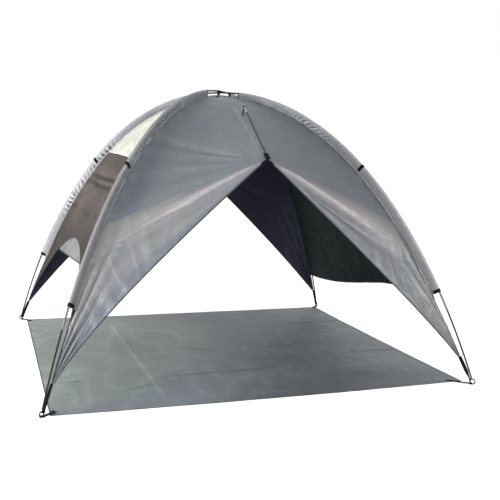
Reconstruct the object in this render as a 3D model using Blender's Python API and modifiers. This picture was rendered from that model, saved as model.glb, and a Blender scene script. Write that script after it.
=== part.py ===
"""Free-standing dome beach tent: two sprung poles that cross at the crown, a silver canopy
hung below them on four sleeves, a door at the front and at the back, and a mat on the ground.

Metres, +Z up, the front door towards -Y. The origin is on the ground at the middle of the feet.
A length "along the pole" is measured up from the middle of the ring at its foot.
"""

import math

import bmesh
import bpy
import numpy as np
from mathutils import Matrix, Vector

# Driving dimensions of the frame
FOOT_SPACING = 2.103  # neighbouring rings, centre to centre
CROWN_HEIGHT = 1.471  # axis of the upper pole where the poles cross
POLE_DIAMETER = 0.0085
POLE_BORE = 0.004
FERRULE_DIAMETER = 0.011
FERRULE_LENGTH = 0.11
END_SECTION_LENGTH = 0.425
SECTION_COUNT = 7
SHOCK_CORD_DIAMETER = 0.0028
RING_DIAMETER = 0.032
RING_WIRE = 0.004
PIN_DEPTH = 0.06
PIN_SHOW = 0.003  # bare shank between the ring and the pole's end

# How the bent pole curves, as shares of its reach and height
foot_in_share = 0.178
foot_up_share = 0.513
crown_out_share = 0.494
STATIONS_PER_HALF = 22
CURVE_SAMPLES = 801

# Clearances
FIT_GAP = 0.0003
LAY_GAP = 0.0005

# Canopy
CLOTH = 0.002
SEAM_DROP = 0.044  # from the pole's axis in to the seam that the sleeve is sewn to
CROWN_CLOTH_DROP = 0.037  # below the upper pole's axis
CROWN_REACH = 0.03  # the panels stop this far from the centre, under the crown patch
SLEEVE_WALL = 0.001
SLEEVE_TAIL = 0.0024
SLEEVE_START = 0.475  # along the pole
CROWN_BARE = 0.126  # bare pole each side of the crossing
RIDGE_ROUND = 1.9  # power of the ridge's curve above its knee
SEAM_ROUND = 4  # power by which the seam's drop reaches the crown's
CORNER_START = 0.155  # along the pole
CORNER_WIDTH = 0.01
NEAR_LEFT_HEM_BOW = 0.04  # how far each door hem arches over its straight line
NEAR_RIGHT_HEM_BOW = 0.016
FAR_RIGHT_HEM_BOW = 0.02
FAR_LEFT_HEM_BOW = 0.036
near_bow_share = 0.75  # how far down the hem its bow is steered from
far_bow_share = 0.6
DOOR_COLUMNS = 8

# Reaches on the canopy, as shares of half the foot spacing
apex_out_share = 0.8436
knee_out_share = 0.4394
rod_top_share = 0.465

# Heights on the canopy, as shares of the crown's. Each wall's hem is a cubic curve from one
# seam to the other, steered by two pulls that lie at shares of the way across
apex_height_share = 0.7553
knee_height_share = 0.8994
crease_height_share = 0.544  # where the crease from the apex reaches the seam
wall_seam_share = 0.7587
arch_far_foot_share = 0.1122
arch_far_pull_share = 0.5914
arch_near_pull_share = 0.52
arch_near_foot_share = 0.1496
arch_far_share = 0.185
arch_near_share = 1.05
ARCH_COLUMNS = 16
hem_near_foot_share = 0.1835
hem_near_pull_share = 0.4215
hem_far_pull_share = 0.1768
hem_far_foot_share = 0.1734
hem_near_share = 0.1
hem_far_share = 0.52
WALL_COLUMNS = 10
lining_top_share = 0.4759
lining_far_edge_share = 0.3549
lining_near_edge_share = 0.4092

# Webbing
WEB = 0.0015
CUFF_HEIGHT = 0.018
GUY_BAND_START = 1.215  # along the pole
BAND_REACH = 0.03  # how far a band's legs run back along the sleeve
STRAP_WIDTH = 0.02
MAT_TAB_WIDTH = 0.025
MAT_TAB_LAP = 0.04
eye_length_share = 3.0  # of the ring's wire
eye_width_share = 2.6
EYE_BAR = 0.004
TIE_WIDTH = 0.01
PATCH_SIDE = 0.08

# Eave rods
ROD_DIAMETER = 0.006
ROD_TOP_STAND = 0.0625  # of the rod's head over the ridge
TIP_DIAMETER = 0.008
TIP_LENGTH = 0.068
POCKET_WIDTH = 0.024
POCKET_LENGTH = 0.034
POCKET_DEPTH = 0.0096
POCKET_FLOOR = 0.004
SLING_SETBACK = 0.013  # from the rod's end down to the middle of its sling
SLING_WIDTH = 0.01

# Mat, whose corners lie inside the rings by these insets
MAT_THICKNESS = 0.002
MAT_LEFT_INSET = 0.0365
MAT_RIGHT_INSET = 0.0215
MAT_BACK_INSET = 0.0215
MAT_FRONT_LEFT_INSET = 0.0115
MAT_FRONT_RIGHT_INSET = 0.0665
MAT_FRONT_SWELL = 0.018
MAT_RIGHT_HOLLOW = 0.008
MAT_BACK_HOLLOW = 0.01
MAT_EDGE_POINTS = 8

FOOT_REACH = FOOT_SPACING / math.sqrt(2)
HALF_SPACING = FOOT_SPACING / 2
CROWN_CLOTH_HEIGHT = CROWN_HEIGHT - CROWN_CLOTH_DROP
APEX_OUT = HALF_SPACING * apex_out_share
APEX_HEIGHT = CROWN_HEIGHT * apex_height_share
RIDGE_KNEE_OUT = HALF_SPACING * knee_out_share
RIDGE_KNEE_HEIGHT = CROWN_HEIGHT * knee_height_share
MAT_LEFT = HALF_SPACING - MAT_LEFT_INSET
MAT_RIGHT = HALF_SPACING - MAT_RIGHT_INSET
MAT_BACK = HALF_SPACING - MAT_BACK_INSET
LOWER_CROWN_HEIGHT = CROWN_HEIGHT - POLE_DIAMETER - LAY_GAP
SEAM_INSET = CLOTH / 2 + FIT_GAP
RING_RADIUS = RING_DIAMETER / 2
RING_LINE = RING_RADIUS - RING_WIRE / 2  # radius of the wire's centre line
PIN_DIAMETER = POLE_BORE - 2 * FIT_GAP
TUBE_SIDES = 8
ROD_SIDES = 12
RING_STEPS = 20
WIRE_STEPS = 6
HALVINGS = 24
SMOOTH_BELOW = math.radians(40)  # sharper edges stay creased
MERGE_WITHIN = FIT_GAP / 10
SLEEVE_INSIDE = (FERRULE_DIAMETER / 2 + FIT_GAP) / math.cos(math.pi / TUBE_SIDES)
PATCH_BASE = CROWN_CLOTH_HEIGHT + CLOTH / 2 + FIT_GAP
HEM_BOWS = {
    "near_left": (NEAR_LEFT_HEM_BOW, near_bow_share),
    "near_right": (NEAR_RIGHT_HEM_BOW, near_bow_share),
    "far_right": (FAR_RIGHT_HEM_BOW, far_bow_share),
    "far_left": (FAR_LEFT_HEM_BOW, far_bow_share),
}
MAT_CORNERS = {
    "near_left": (-MAT_LEFT, MAT_FRONT_LEFT_INSET - HALF_SPACING),
    "near_right": (MAT_RIGHT, MAT_FRONT_RIGHT_INSET - HALF_SPACING),
    "far_right": (MAT_RIGHT, MAT_BACK),
    "far_left": (-MAT_LEFT, MAT_BACK),
}

LOOKS = {
    "pole": ((0.055, 0.062, 0.058), 0.35, 0.1),
    "shock cord": ((0.02, 0.02, 0.02), 0.8, 0.0),
    "steel": ((0.55, 0.58, 0.56), 0.3, 1.0),
    "aluminium": ((0.6, 0.6, 0.6), 0.35, 1.0),
    "silver cloth": ((0.27, 0.29, 0.31), 0.5, 0.15),
    "bright cloth": ((0.62, 0.62, 0.53), 0.5, 0.0),
    "window cloth": ((0.13, 0.12, 0.115), 0.6, 0.0),
    "lining": ((0.5, 0.5, 0.49), 0.6, 0.0),
    "webbing": ((0.012, 0.012, 0.014), 0.8, 0.0),
    "mat": ((0.2, 0.22, 0.22), 0.55, 0.0),
}


def clear_scene():
    for obj in list(bpy.data.objects):
        bpy.data.objects.remove(obj, do_unlink=True)


def new_collection(name):
    collection = bpy.data.collections.new(name)
    bpy.context.scene.collection.children.link(collection)
    return collection


def material_for(name, look):
    color, roughness, metallic = LOOKS[look]
    material = bpy.data.materials.new(name)
    material.use_nodes = True
    shader = material.node_tree.nodes["Principled BSDF"]
    shader.inputs["Base Color"].default_value = (*color, 1)
    shader.inputs["Roughness"].default_value = roughness
    shader.inputs["Metallic"].default_value = metallic
    return material


def place(obj, name, look, parent=None, matrix=None):
    """Names the object, gives it its own material and puts it in the tent's collection."""
    obj.name = name
    obj.data.name = name
    for collection in list(obj.users_collection):
        collection.objects.unlink(obj)
    tent.objects.link(obj)
    obj.data.materials.clear()
    obj.data.materials.append(material_for(name, look))
    obj.parent = parent
    if matrix is not None:
        obj.matrix_local = matrix
    return obj


def as_tool(obj, name, parent, matrix):
    """Sets a shape aside as one that only cuts or joins another."""
    obj.name = name
    for collection in list(obj.users_collection):
        collection.objects.unlink(obj)
    cutters.objects.link(obj)
    obj.parent = parent
    obj.matrix_local = matrix
    obj.hide_render = True
    obj.display_type = "WIRE"
    return obj


def combine(obj, tool, operation):
    step = obj.modifiers.new(tool.name, "BOOLEAN")
    step.operation = operation
    step.solver = "EXACT"
    step.object = tool


def rod_shape(radius, length, sides):
    """A round bar along Z from the origin up."""
    bpy.ops.mesh.primitive_cylinder_add(vertices=sides, radius=radius, depth=length)
    obj = bpy.context.object
    obj.data.transform(Matrix.Translation(Vector((0, 0, length / 2))))
    obj.data.shade_smooth()
    obj.data.set_sharp_from_angle(angle=SMOOTH_BELOW)
    return obj


def block_shape(width, depth, height):
    """A block that stands on the origin."""
    bpy.ops.mesh.primitive_cube_add(size=1)
    obj = bpy.context.object
    obj.data.transform(Matrix.Diagonal((width, depth, height, 1)))
    obj.data.transform(Matrix.Translation(Vector((0, 0, height / 2))))
    return obj


def mesh_object(name, points, faces, look, parent=None, matrix=None):
    mesh = bpy.data.meshes.new(name)
    mesh.from_pydata([tuple(p) for p in points], [], [tuple(f) for f in faces])
    work = bmesh.new()
    work.from_mesh(mesh)
    bmesh.ops.remove_doubles(work, verts=work.verts, dist=MERGE_WITHIN)
    bmesh.ops.recalc_face_normals(work, faces=work.faces)
    work.to_mesh(mesh)
    work.free()
    mesh.shade_smooth()
    mesh.set_sharp_from_angle(angle=SMOOTH_BELOW)
    return place(bpy.data.objects.new(name, mesh), name, look, parent, matrix)


def frame_at(name, azimuth):
    """An empty whose X points along the ground at this bearing, to carry one pole's pieces."""
    empty = bpy.data.objects.new(name, None)
    empty.rotation_euler = (0, 0, azimuth)
    tent.objects.link(empty)
    return empty


class Arch:
    """The axis of a bent pole in its upright plane: reach r and height z at even steps of its
    length, from the middle of its first ring over the crown to that of its second. Everything
    on the pole follows this one line of straight steps."""

    def __init__(self, crown):
        t = np.linspace(0, 1, CURVE_SAMPLES)[:, None]
        rise = (crown - RING_RADIUS) * foot_up_share
        foot = np.array([FOOT_REACH, RING_RADIUS])
        lift = np.array([FOOT_REACH * (1 - foot_in_share), RING_RADIUS + rise])
        lean = np.array([FOOT_REACH * crown_out_share, crown])
        top = np.array([0, crown])
        curve = (1 - t) ** 3 * foot + 3 * (1 - t) ** 2 * t * lift + 3 * (1 - t) * t**2 * lean + t**3 * top
        run = np.concatenate([[0], np.cumsum(np.linalg.norm(np.diff(curve, axis=0), axis=1))])
        steps = np.linspace(0, run[-1], STATIONS_PER_HALF + 1)
        r = np.interp(steps, run, curve[:, 0])
        z = np.interp(steps, run, curve[:, 1])
        r = np.concatenate([r, -r[-2::-1]])
        z = np.concatenate([z, z[-2::-1]])
        self.run = np.concatenate([[0], np.cumsum(np.hypot(np.diff(r), np.diff(z)))])
        self.r = r
        self.z = z
        self.length = self.run[-1]
        self.crown = crown

    def at(self, arc):
        return np.array([np.interp(arc, self.run, self.r), np.interp(arc, self.run, self.z)])

    def along(self, arc):
        """Direction of travel; at a step's end, the mean of the two steps."""
        reach = FIT_GAP
        step = self.at(min(arc + reach, self.length)) - self.at(max(arc - reach, 0))
        return step / np.linalg.norm(step)

    def outward(self, arc):
        r, z = self.along(arc)
        return np.array([z, -r])

    def drop(self, arc):
        """Depth of the sleeve's seam below the pole, drawn level for both poles at the crown."""
        share = min(arc, self.length - arc) / (self.length / 2)
        return SEAM_DROP + (self.crown - CROWN_CLOTH_HEIGHT - SEAM_DROP) * share**SEAM_ROUND

    def seam(self, arc):
        return self.at(arc) - self.drop(arc) * self.outward(arc)

    def stops(self, start, end):
        """Both ends and every step between them, either way round."""
        low, high = min(start, end), max(start, end)
        margin = POLE_DIAMETER / 2
        inner = [a for a in self.run if low + margin < a < high - margin]
        found = [low, *inner, high]
        return found if start < end else found[::-1]

    def arc_at_seam_height(self, height):
        arcs = self.run[: STATIONS_PER_HALF + 1]
        return float(np.interp(height, [self.seam(a)[1] for a in arcs], arcs))

    def arc_at_reach(self, reach):
        arcs = self.run[: STATIONS_PER_HALF + 1]
        return float(np.interp(-reach, -self.r[: STATIONS_PER_HALF + 1], arcs))


def ring_on(arch, arc, outline):
    """A section outline, given as outward and sideways offsets, set square to the pole there."""
    outward = arch.outward(arc)
    middle = arch.at(arc)
    return [(middle[0] + d * outward[0], p, middle[1] + d * outward[1]) for d, p in outline]


def circle(radius, sides=TUBE_SIDES):
    turn = 2 * math.pi / sides
    angles = [turn * (k + 1 / 2) for k in range(sides)]
    return [(radius * math.cos(a), radius * math.sin(a)) for a in angles]


def skin_rings(name, rings, look, parent):
    """A hollow piece from a chain of equal rings that runs up its outside and back down its
    bore, so the last ring meets the first."""
    count = len(rings[0])
    total = len(rings)
    points = [p for ring in rings for p in ring]
    faces = []
    for i in range(total):
        for j in range(count):
            a, b = i * count, ((i + 1) % total) * count
            k = (j + 1) % count
            faces.append((a + j, a + k, b + k, b + j))
    return mesh_object(name, points, faces, look, parent)


def bar_curve(name, points, diameter, look, parent):
    """A round cord along straight steps, with closed ends."""
    data = bpy.data.curves.new(name, "CURVE")
    data.dimensions = "3D"
    spline = data.splines.new("POLY")
    spline.points.add(len(points) - 1)
    for point, place_at in zip(spline.points, points):
        point.co = (*place_at, 1)
    data.bevel_depth = diameter / 2
    data.bevel_resolution = 1
    data.use_fill_caps = True
    return place(bpy.data.objects.new(name, data), name, look, parent)


def flat_shape(name, outlines, thickness, look, parent=None, matrix=None):
    """A flat outline, with any holes inside it, raised to a thickness about its own plane."""
    data = bpy.data.curves.new(name, "CURVE")
    data.dimensions = "2D"
    data.fill_mode = "BOTH"
    data.extrude = thickness / 2
    for outline in outlines:
        spline = data.splines.new("POLY")
        spline.use_cyclic_u = True
        spline.points.add(len(outline) - 1)
        for point, (x, y) in zip(spline.points, outline):
            point.co = (x, y, 0, 1)
    return place(bpy.data.objects.new(name, data), name, look, parent, matrix)


def cloth_sheet(name, grids, look):
    """One cloth panel: grids of points that share edges, given the cloth's thickness."""
    points = []
    faces = []
    for grid in grids:
        rows, columns = len(grid), len(grid[0])
        base = len(points)
        points += [p for row in grid for p in row]
        for i in range(rows - 1):
            for j in range(columns - 1):
                a = base + i * columns + j
                faces.append((a, a + 1, a + columns + 1, a + columns))
    obj = mesh_object(name, points, faces, look)
    wall = obj.modifiers.new("cloth", "SOLIDIFY")
    wall.thickness = CLOTH
    wall.offset = 0
    return obj


def axes_matrix(origin, x_axis, y_axis):
    """A placing matrix from an origin and the directions of local X and Y."""
    x = Vector(x_axis).normalized()
    z = x.cross(Vector(y_axis)).normalized()
    y = z.cross(x)
    turn = Matrix((x, y, z)).transposed().to_4x4()
    return Matrix.Translation(Vector(origin)) @ turn


def in_plane(point):
    """A point of a pole's plane, reach and height, as local X, Y, Z of that pole's frame."""
    return Vector((point[0], 0, point[1]))


def pole_sections(letter, arch, parent):
    """Hollow glass-fibre tubes, each but the last with a steel ferrule on its far end that
    takes the next tube's end."""
    start = RING_RADIUS + PIN_SHOW
    middle = (arch.length - 2 * END_SECTION_LENGTH) / (SECTION_COUNT - 2)
    joints = [END_SECTION_LENGTH + middle * k for k in range(SECTION_COUNT - 1)]
    ends = [start, *joints, arch.length - start]
    outer = circle(POLE_DIAMETER / 2)
    bore = circle(POLE_BORE / 2)
    sleeve = circle(FERRULE_DIAMETER / 2)
    socket = circle(POLE_DIAMETER / 2 + FIT_GAP)
    for k in range(SECTION_COUNT):
        low = ends[k] + (FIT_GAP / 2 if k else 0)
        last = k == SECTION_COUNT - 1
        high = ends[k + 1] - (0 if last else FIT_GAP / 2)
        if last:
            chain = [(a, outer) for a in arch.stops(low, high)]
        else:
            neck = ends[k + 1] - FERRULE_LENGTH / 2
            mouth = ends[k + 1] + FERRULE_LENGTH / 2
            chain = [(a, outer) for a in arch.stops(low, neck)]
            chain += [(a, sleeve) for a in arch.stops(neck, mouth)]
            chain += [(a, socket) for a in arch.stops(mouth, high)]
        chain += [(a, bore) for a in arch.stops(high, low)]
        rings = [ring_on(arch, a, outline) for a, outline in chain]
        skin_rings(f"pole_{letter}_section_{k + 1}", rings, "pole", parent)


def shock_cord(letter, arch, parent):
    start = RING_RADIUS + PIN_SHOW + PIN_DEPTH + FIT_GAP
    stops = arch.stops(start, arch.length - start)
    points = [in_plane(arch.at(a)) for a in stops]
    bar_curve(f"shock_cord_{letter}", points, SHOCK_CORD_DIAMETER, "shock cord", parent)


def ring_pin(arm, arch, parent):
    """A ring that stands in the pole's plane, with a shank that plugs into the pole's bore."""
    centre = in_plane(arch.at(0))
    bpy.ops.mesh.primitive_torus_add(
        major_segments=RING_STEPS, minor_segments=WIRE_STEPS, major_radius=RING_LINE, minor_radius=RING_WIRE / 2
    )
    ring = bpy.context.object
    ring.data.transform(Matrix.Rotation(math.pi / 2, 4, "X"))
    ring.data.shade_smooth()
    place(ring, f"ring_pin_{arm}", "steel", parent, Matrix.Translation(centre))
    up = in_plane(arch.along(0))
    length = RING_WIRE / 2 + PIN_SHOW + PIN_DEPTH
    turn = up.to_track_quat("Z", "Y").to_matrix().to_4x4()
    foot = Matrix.Translation(centre + up * RING_LINE) @ turn
    shank = as_tool(rod_shape(PIN_DIAMETER / 2, length, TUBE_SIDES), f"shank_{arm}", parent, foot)
    combine(ring, shank, "UNION")


def sleeve_outline(arch, arc, radius, tail_half, tail_lift):
    """A drop shape: round over the pole and drawn in to the seam, as outward and side offsets."""
    tail = -(arch.drop(arc) - CLOTH / 2 - LAY_GAP - tail_lift)
    head = circle(radius)
    head = [head[k] for k in (5, 6, 7, 0, 1, 2)]
    return [*head, (tail, tail_half), (tail, -tail_half)]


def pole_sleeve(arm, arch, parent):
    stops = arch.stops(SLEEVE_START, arch.length / 2 - CROWN_BARE)
    slot = SLEEVE_TAIL / 2 - SLEEVE_WALL / 2
    rings = []
    for arc in stops:
        outline = sleeve_outline(arch, arc, SLEEVE_INSIDE + SLEEVE_WALL, SLEEVE_TAIL / 2, 0)
        rings.append(ring_on(arch, arc, outline))
    for arc in reversed(stops):
        outline = sleeve_outline(arch, arc, SLEEVE_INSIDE, slot, SLEEVE_WALL)
        rings.append(ring_on(arch, arc, outline))
    skin_rings(f"sleeve_{arm}", rings, "silver cloth", parent)


def sleeve_band(name, arch, arc, parent):
    """Webbing wrapped over the sleeve's outer edge, its two legs run back along the sleeve."""
    radius = SLEEVE_INSIDE + SLEEVE_WALL
    head = sleeve_outline(arch, arc, radius, SLEEVE_TAIL / 2, 0)
    shoulder, tail = head[0], head[-1]
    share = (BAND_REACH + shoulder[0]) / (shoulder[0] - tail[0])
    half = abs(shoulder[1]) + (abs(tail[1]) - abs(shoulder[1])) * share
    sides = []
    for offset in (LAY_GAP, LAY_GAP + WEB):
        grow = 1 + offset / (radius * math.cos(math.pi / TUBE_SIDES))
        over = [(d * grow, p * grow) for d, p in head[:-2]]
        sides.append([(-BAND_REACH, -half - offset), *over, (-BAND_REACH, half + offset)])
    inside, outside = sides
    matrix = axes_matrix(in_plane(arch.at(arc)), in_plane(arch.outward(arc)), (0, 1, 0))
    flat_shape(name, [outside + inside[::-1]], CUFF_HEIGHT, "webbing", parent, matrix)


def eyed_tab(name, start, hook, width, ring_centre, parent):
    """A strip of webbing in the pole's plane from start past the hook point, which lies inside
    the ring, with a slot where the ring's wire runs through it."""
    run = hook - start
    length = run.length
    half_chord = (hook - ring_centre).dot(run) / length
    square = half_chord**2 + RING_LINE**2 - (hook - ring_centre).length_squared
    crossing = length - half_chord - math.sqrt(square)
    eye = RING_WIRE * eye_length_share / 2
    slot = RING_WIRE * eye_width_share / 2
    tip = max(length, crossing + eye + EYE_BAR)
    hole = rectangle(crossing - eye, crossing + eye, slot)
    matrix = axes_matrix(start, run, (0, 1, 0))
    flat_shape(name, [rectangle(0, tip, width / 2), hole], WEB, "webbing", parent, matrix)


def rectangle(low, high, half_width):
    return [(low, -half_width), (high, -half_width), (high, half_width), (low, half_width)]


def foot_webbing(arm, arch, parent):
    """The canopy's corner strap and the mat's corner tab, both held by the ring."""
    centre = in_plane(arch.at(0))
    corner = in_plane(arch.seam(CORNER_START))
    hook = centre + Vector((-RING_LINE / 2, 0, -RING_LINE / 4))
    start = corner + (hook - corner).normalized() * LAY_GAP
    eyed_tab(f"corner_strap_{arm}", start, hook, STRAP_WIDTH, centre, parent)
    start = Vector((mat_corner_reach(arm) - MAT_TAB_LAP, 0, MAT_THICKNESS + FIT_GAP + WEB / 2))
    hook = Vector((centre.x, 0, RING_WIRE + LAY_GAP + WEB))
    eyed_tab(f"mat_tab_{arm}", start, hook, MAT_TAB_WIDTH, centre, parent)


def mat_corner_reach(arm):
    """Where the pole's plane leaves the mat."""
    x, y = MAT_CORNERS[arm]
    return min(abs(x), abs(y)) * math.sqrt(2)


def seam_point(arm, arc, side, depth=0):
    """A canopy edge point in world space, set off from the pole's plane to one side of it.
    depth puts it further inside the tent."""
    arch, bearing = ARMS[arm]
    r, z = arch.seam(arc) - depth * arch.outward(arc)
    out = np.array([math.cos(bearing), math.sin(bearing)])
    across = np.array([-out[1], out[0]])
    x, y = r * out + side * SEAM_INSET * across
    return np.array([x, y, z])


def between(a, b, columns):
    return [a + (b - a) * j / columns for j in range(columns + 1)]


def ridge_height(out):
    """The door panel's middle line: rounded over from the crown to its knee, then straight."""
    if out < RIDGE_KNEE_OUT:
        fall = CROWN_CLOTH_HEIGHT - RIDGE_KNEE_HEIGHT
        return CROWN_CLOTH_HEIGHT - fall * (out / RIDGE_KNEE_OUT) ** RIDGE_ROUND
    share = (out - RIDGE_KNEE_OUT) / (APEX_OUT - RIDGE_KNEE_OUT)
    return RIDGE_KNEE_HEIGHT + (APEX_HEIGHT - RIDGE_KNEE_HEIGHT) * share


def hood_arcs(arch):
    return arch.stops(arch.arc_at_reach(CROWN_REACH), arch.arc_at_seam_height(CROWN_HEIGHT * crease_height_share))


def ridge_line():
    """Reach and height of the ridge at each row of the hood."""
    rows = len(hood_arcs(upper_arch))
    outs = np.linspace(CROWN_REACH, APEX_OUT, rows)
    return outs, np.array([ridge_height(out) for out in outs])


def door_panel(name, first, second, facing):
    """The panel over a door: a hood from the crown to the apex, and a wing down each side of
    the door. Straight threads run from the two seams to the ridge, and then to the hems."""
    outs, heights = ridge_line()
    arcs = {arm: hood_arcs(ARMS[arm][0]) for arm in (first, second)}
    hood = []
    for i, (out, height) in enumerate(zip(outs, heights)):
        ridge = np.array([0, facing * out, height])
        left = between(seam_point(first, arcs[first][i], 1), ridge, DOOR_COLUMNS)
        right = between(ridge, seam_point(second, arcs[second][i], -1), DOOR_COLUMNS)
        hood.append(left + right[1:])
    apex = np.array([0, facing * APEX_OUT, APEX_HEIGHT])
    low = [seam_point(arm, CORNER_START, side) for arm, side in ((first, 1), (second, -1))]
    span = (low[1] - low[0]) / np.linalg.norm(low[1] - low[0])
    grids = [hood]
    for arm, side, corner, inwards in ((first, 1, low[0], span), (second, -1, low[1], -span)):
        bow, bow_share = HEM_BOWS[arm]
        hem_end = corner + inwards * CORNER_WIDTH
        chord = hem_end - apex
        chord = chord / np.linalg.norm(chord)
        lift = np.array([0, 0, 1]) - chord[2] * chord
        lift = lift / np.linalg.norm(lift)
        bend = apex + (hem_end - apex) * bow_share + 2 * bow * lift
        stops = ARMS[arm][0].stops(arcs[arm][-1], CORNER_START)
        wing = []
        for arc in stops:
            t = (stops[0] - arc) / (stops[0] - stops[-1])
            hem = (1 - t) ** 2 * apex + 2 * (1 - t) * t * bend + t**2 * hem_end
            wing.append(between(seam_point(arm, arc, side), hem, DOOR_COLUMNS))
        grids.append(wing)
    return cloth_sheet(name, grids, "silver cloth")


def hem_curve(start, first_pull, second_pull, end, columns):
    """Share across the wall of each column's end, and its height as a share of the crown's,
    along a cubic curve."""
    t = np.linspace(0, 1, columns + 1)[:, None]
    start, first_pull, second_pull, end = map(np.array, (start, first_pull, second_pull, end))
    curve = (1 - t) ** 3 * start + 3 * (1 - t) ** 2 * t * first_pull
    curve += 3 * (1 - t) * t**2 * second_pull + t**3 * end
    return np.clip(curve[:, 0], 0, 1), CROWN_HEIGHT * curve[:, 1]


def wall_grid(first, second, top, spread, hem, depth=0):
    """Rows across a wall between two seams, one at each of the poles' steps, so that every row
    of cloth is flat. A column ends where it meets the hem, given as lengths along the pole."""
    stops = ARMS[first][0].stops(top, min(hem))
    rows = []
    for stop in stops:
        row = []
        for share, end in zip(spread, hem):
            arc = max(stop, end)
            a = seam_point(first, arc, 1, depth)
            b = seam_point(second, arc, -1, depth)
            row.append(a + (b - a) * share)
        rows.append(row)
    return rows


def left_wall():
    """A bright upper piece, below the cross seam a window piece cut out in a high arch, and
    inside it a lining strip with a straight lower edge that shows through the arch."""
    first, second = "far_left", "near_left"
    arch = ARMS[first][0]
    top = arch.arc_at_reach(CROWN_REACH)
    cross = arch.arc_at_seam_height(CROWN_HEIGHT * wall_seam_share)
    even = np.linspace(0, 1, WALL_COLUMNS + 1)
    upper = wall_grid(first, second, top, even, [cross + LAY_GAP] * len(even))
    cloth_sheet("left_wall_upper", [upper], "bright cloth")
    spread, heights = hem_curve(
        (0, arch_far_foot_share),
        (arch_far_share, arch_far_pull_share),
        (arch_near_share, arch_near_pull_share),
        (1, arch_near_foot_share),
        ARCH_COLUMNS,
    )
    hem = [arch.arc_at_seam_height(z) for z in heights]
    lower = wall_grid(first, second, cross - LAY_GAP, spread, hem)
    cloth_sheet("left_wall_lower", [lower], "window cloth")
    shares = lining_far_edge_share + (lining_near_edge_share - lining_far_edge_share) * even
    hem = [arch.arc_at_seam_height(CROWN_HEIGHT * share) for share in shares]
    top = arch.arc_at_seam_height(CROWN_HEIGHT * lining_top_share)
    depth = (CLOTH + LAY_GAP) * math.sqrt(2)  # the wall stands askew of the pole's plane
    strip = wall_grid(first, second, top, even, hem, depth)
    cloth_sheet("left_wall_lining", [strip], "lining")


def right_wall():
    """One piece from the crown to a hem that hangs well clear of the ground."""
    first, second = "near_right", "far_right"
    arch = ARMS[first][0]
    spread, heights = hem_curve(
        (0, hem_near_foot_share),
        (hem_near_share, hem_near_pull_share),
        (hem_far_share, hem_far_pull_share),
        (1, hem_far_foot_share),
        WALL_COLUMNS,
    )
    hem = [arch.arc_at_seam_height(z) for z in heights]
    grid = wall_grid(first, second, arch.arc_at_reach(CROWN_REACH), spread, hem)
    cloth_sheet("right_wall", [grid], "silver cloth")


def crown_patch():
    """A square of cloth over the point where the four panels meet."""
    patch = block_shape(PATCH_SIDE, PATCH_SIDE, WEB)
    turn = Matrix.Rotation(math.pi / 4, 4, "Z")
    place(patch, "crown_patch", "silver cloth", None, Matrix.Translation((0, 0, PATCH_BASE)) @ turn)


def crown_tie():
    """A webbing loop that stands on the patch and goes round both poles where they cross."""
    reach = TIE_WIDTH / 2 + POLE_DIAMETER / math.sqrt(2) + LAY_GAP
    floor = PATCH_BASE + WEB + FIT_GAP
    top = CROWN_HEIGHT + POLE_DIAMETER / 2 + LAY_GAP
    inside = [(-reach, floor + WEB), (reach, floor + WEB), (reach, top), (-reach, top)]
    reach += WEB
    top += WEB
    outside = [(-reach, floor), (reach, floor), (reach, top), (-reach, top)]
    upright = axes_matrix((0, 0, 0), (0, 1, 0), (0, 0, 1))
    flat_shape("crown_tie", [outside, inside], TIE_WIDTH, "webbing", None, upright)


class RodLine:
    """Where an eave rod lies: its foot over the door's apex, its head over the ridge. facing
    is the door's side of the tent along Y."""

    def __init__(self, facing):
        fall = Vector((0, facing * (APEX_OUT - RIDGE_KNEE_OUT), APEX_HEIGHT - RIDGE_KNEE_HEIGHT))
        slope = -fall.normalized()
        square = Vector((0, facing * slope.z, abs(slope.y)))
        stand = CLOTH / 2 + LAY_GAP + POCKET_DEPTH / 2
        apex = Vector((0, facing * APEX_OUT, APEX_HEIGHT))
        self.foot = apex + slope * POCKET_FLOOR + square * stand
        out = HALF_SPACING * rod_top_share
        head = Vector((0, facing * out, ridge_height(out) + ROD_TOP_STAND))
        self.length = (head - self.foot).length
        self.up = (head - self.foot).normalized()
        self.over = Vector((0, facing * self.up.z, abs(self.up.y)))

    def frame(self, distance):
        """Z along the rod and Y up off the cloth, at this distance from the rod's foot."""
        side = self.over.cross(self.up)
        turn = Matrix((side, self.over, self.up)).transposed().to_4x4()
        return Matrix.Translation(self.foot + self.up * distance) @ turn

    def height_over_ridge(self, distance):
        """How far the ridge lies below the rod, square to the rod."""
        start = self.foot + self.up * distance
        outs, heights = ridge_line()
        low, high = 0, CROWN_HEIGHT - APEX_HEIGHT
        for _ in range(HALVINGS):
            depth = (low + high) / 2
            probe = start - self.over * depth
            if probe.z > np.interp(abs(probe.y), outs, heights):
                low = depth
            else:
                high = depth
        return low


def apex_pocket(side, line):
    """A webbing cup sewn over the apex, bored for the rod's foot."""
    pocket = block_shape(POCKET_WIDTH, POCKET_DEPTH, POCKET_LENGTH)
    place(pocket, f"{side}_apex_pocket", "webbing", None, line.frame(-POCKET_FLOOR))
    soften = pocket.modifiers.new("edges", "BEVEL")
    soften.width = WEB
    soften.segments = 2
    drill = rod_shape(ROD_DIAMETER / 2 + FIT_GAP, POCKET_LENGTH, ROD_SIDES)
    combine(pocket, as_tool(drill, f"{side}_pocket_drill", None, line.frame(-FIT_GAP)), "DIFFERENCE")


def eave_rod(side, line):
    rod = rod_shape(ROD_DIAMETER / 2, line.length, ROD_SIDES)
    place(rod, f"{side}_eave_rod", "pole", None, line.frame(0))


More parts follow.
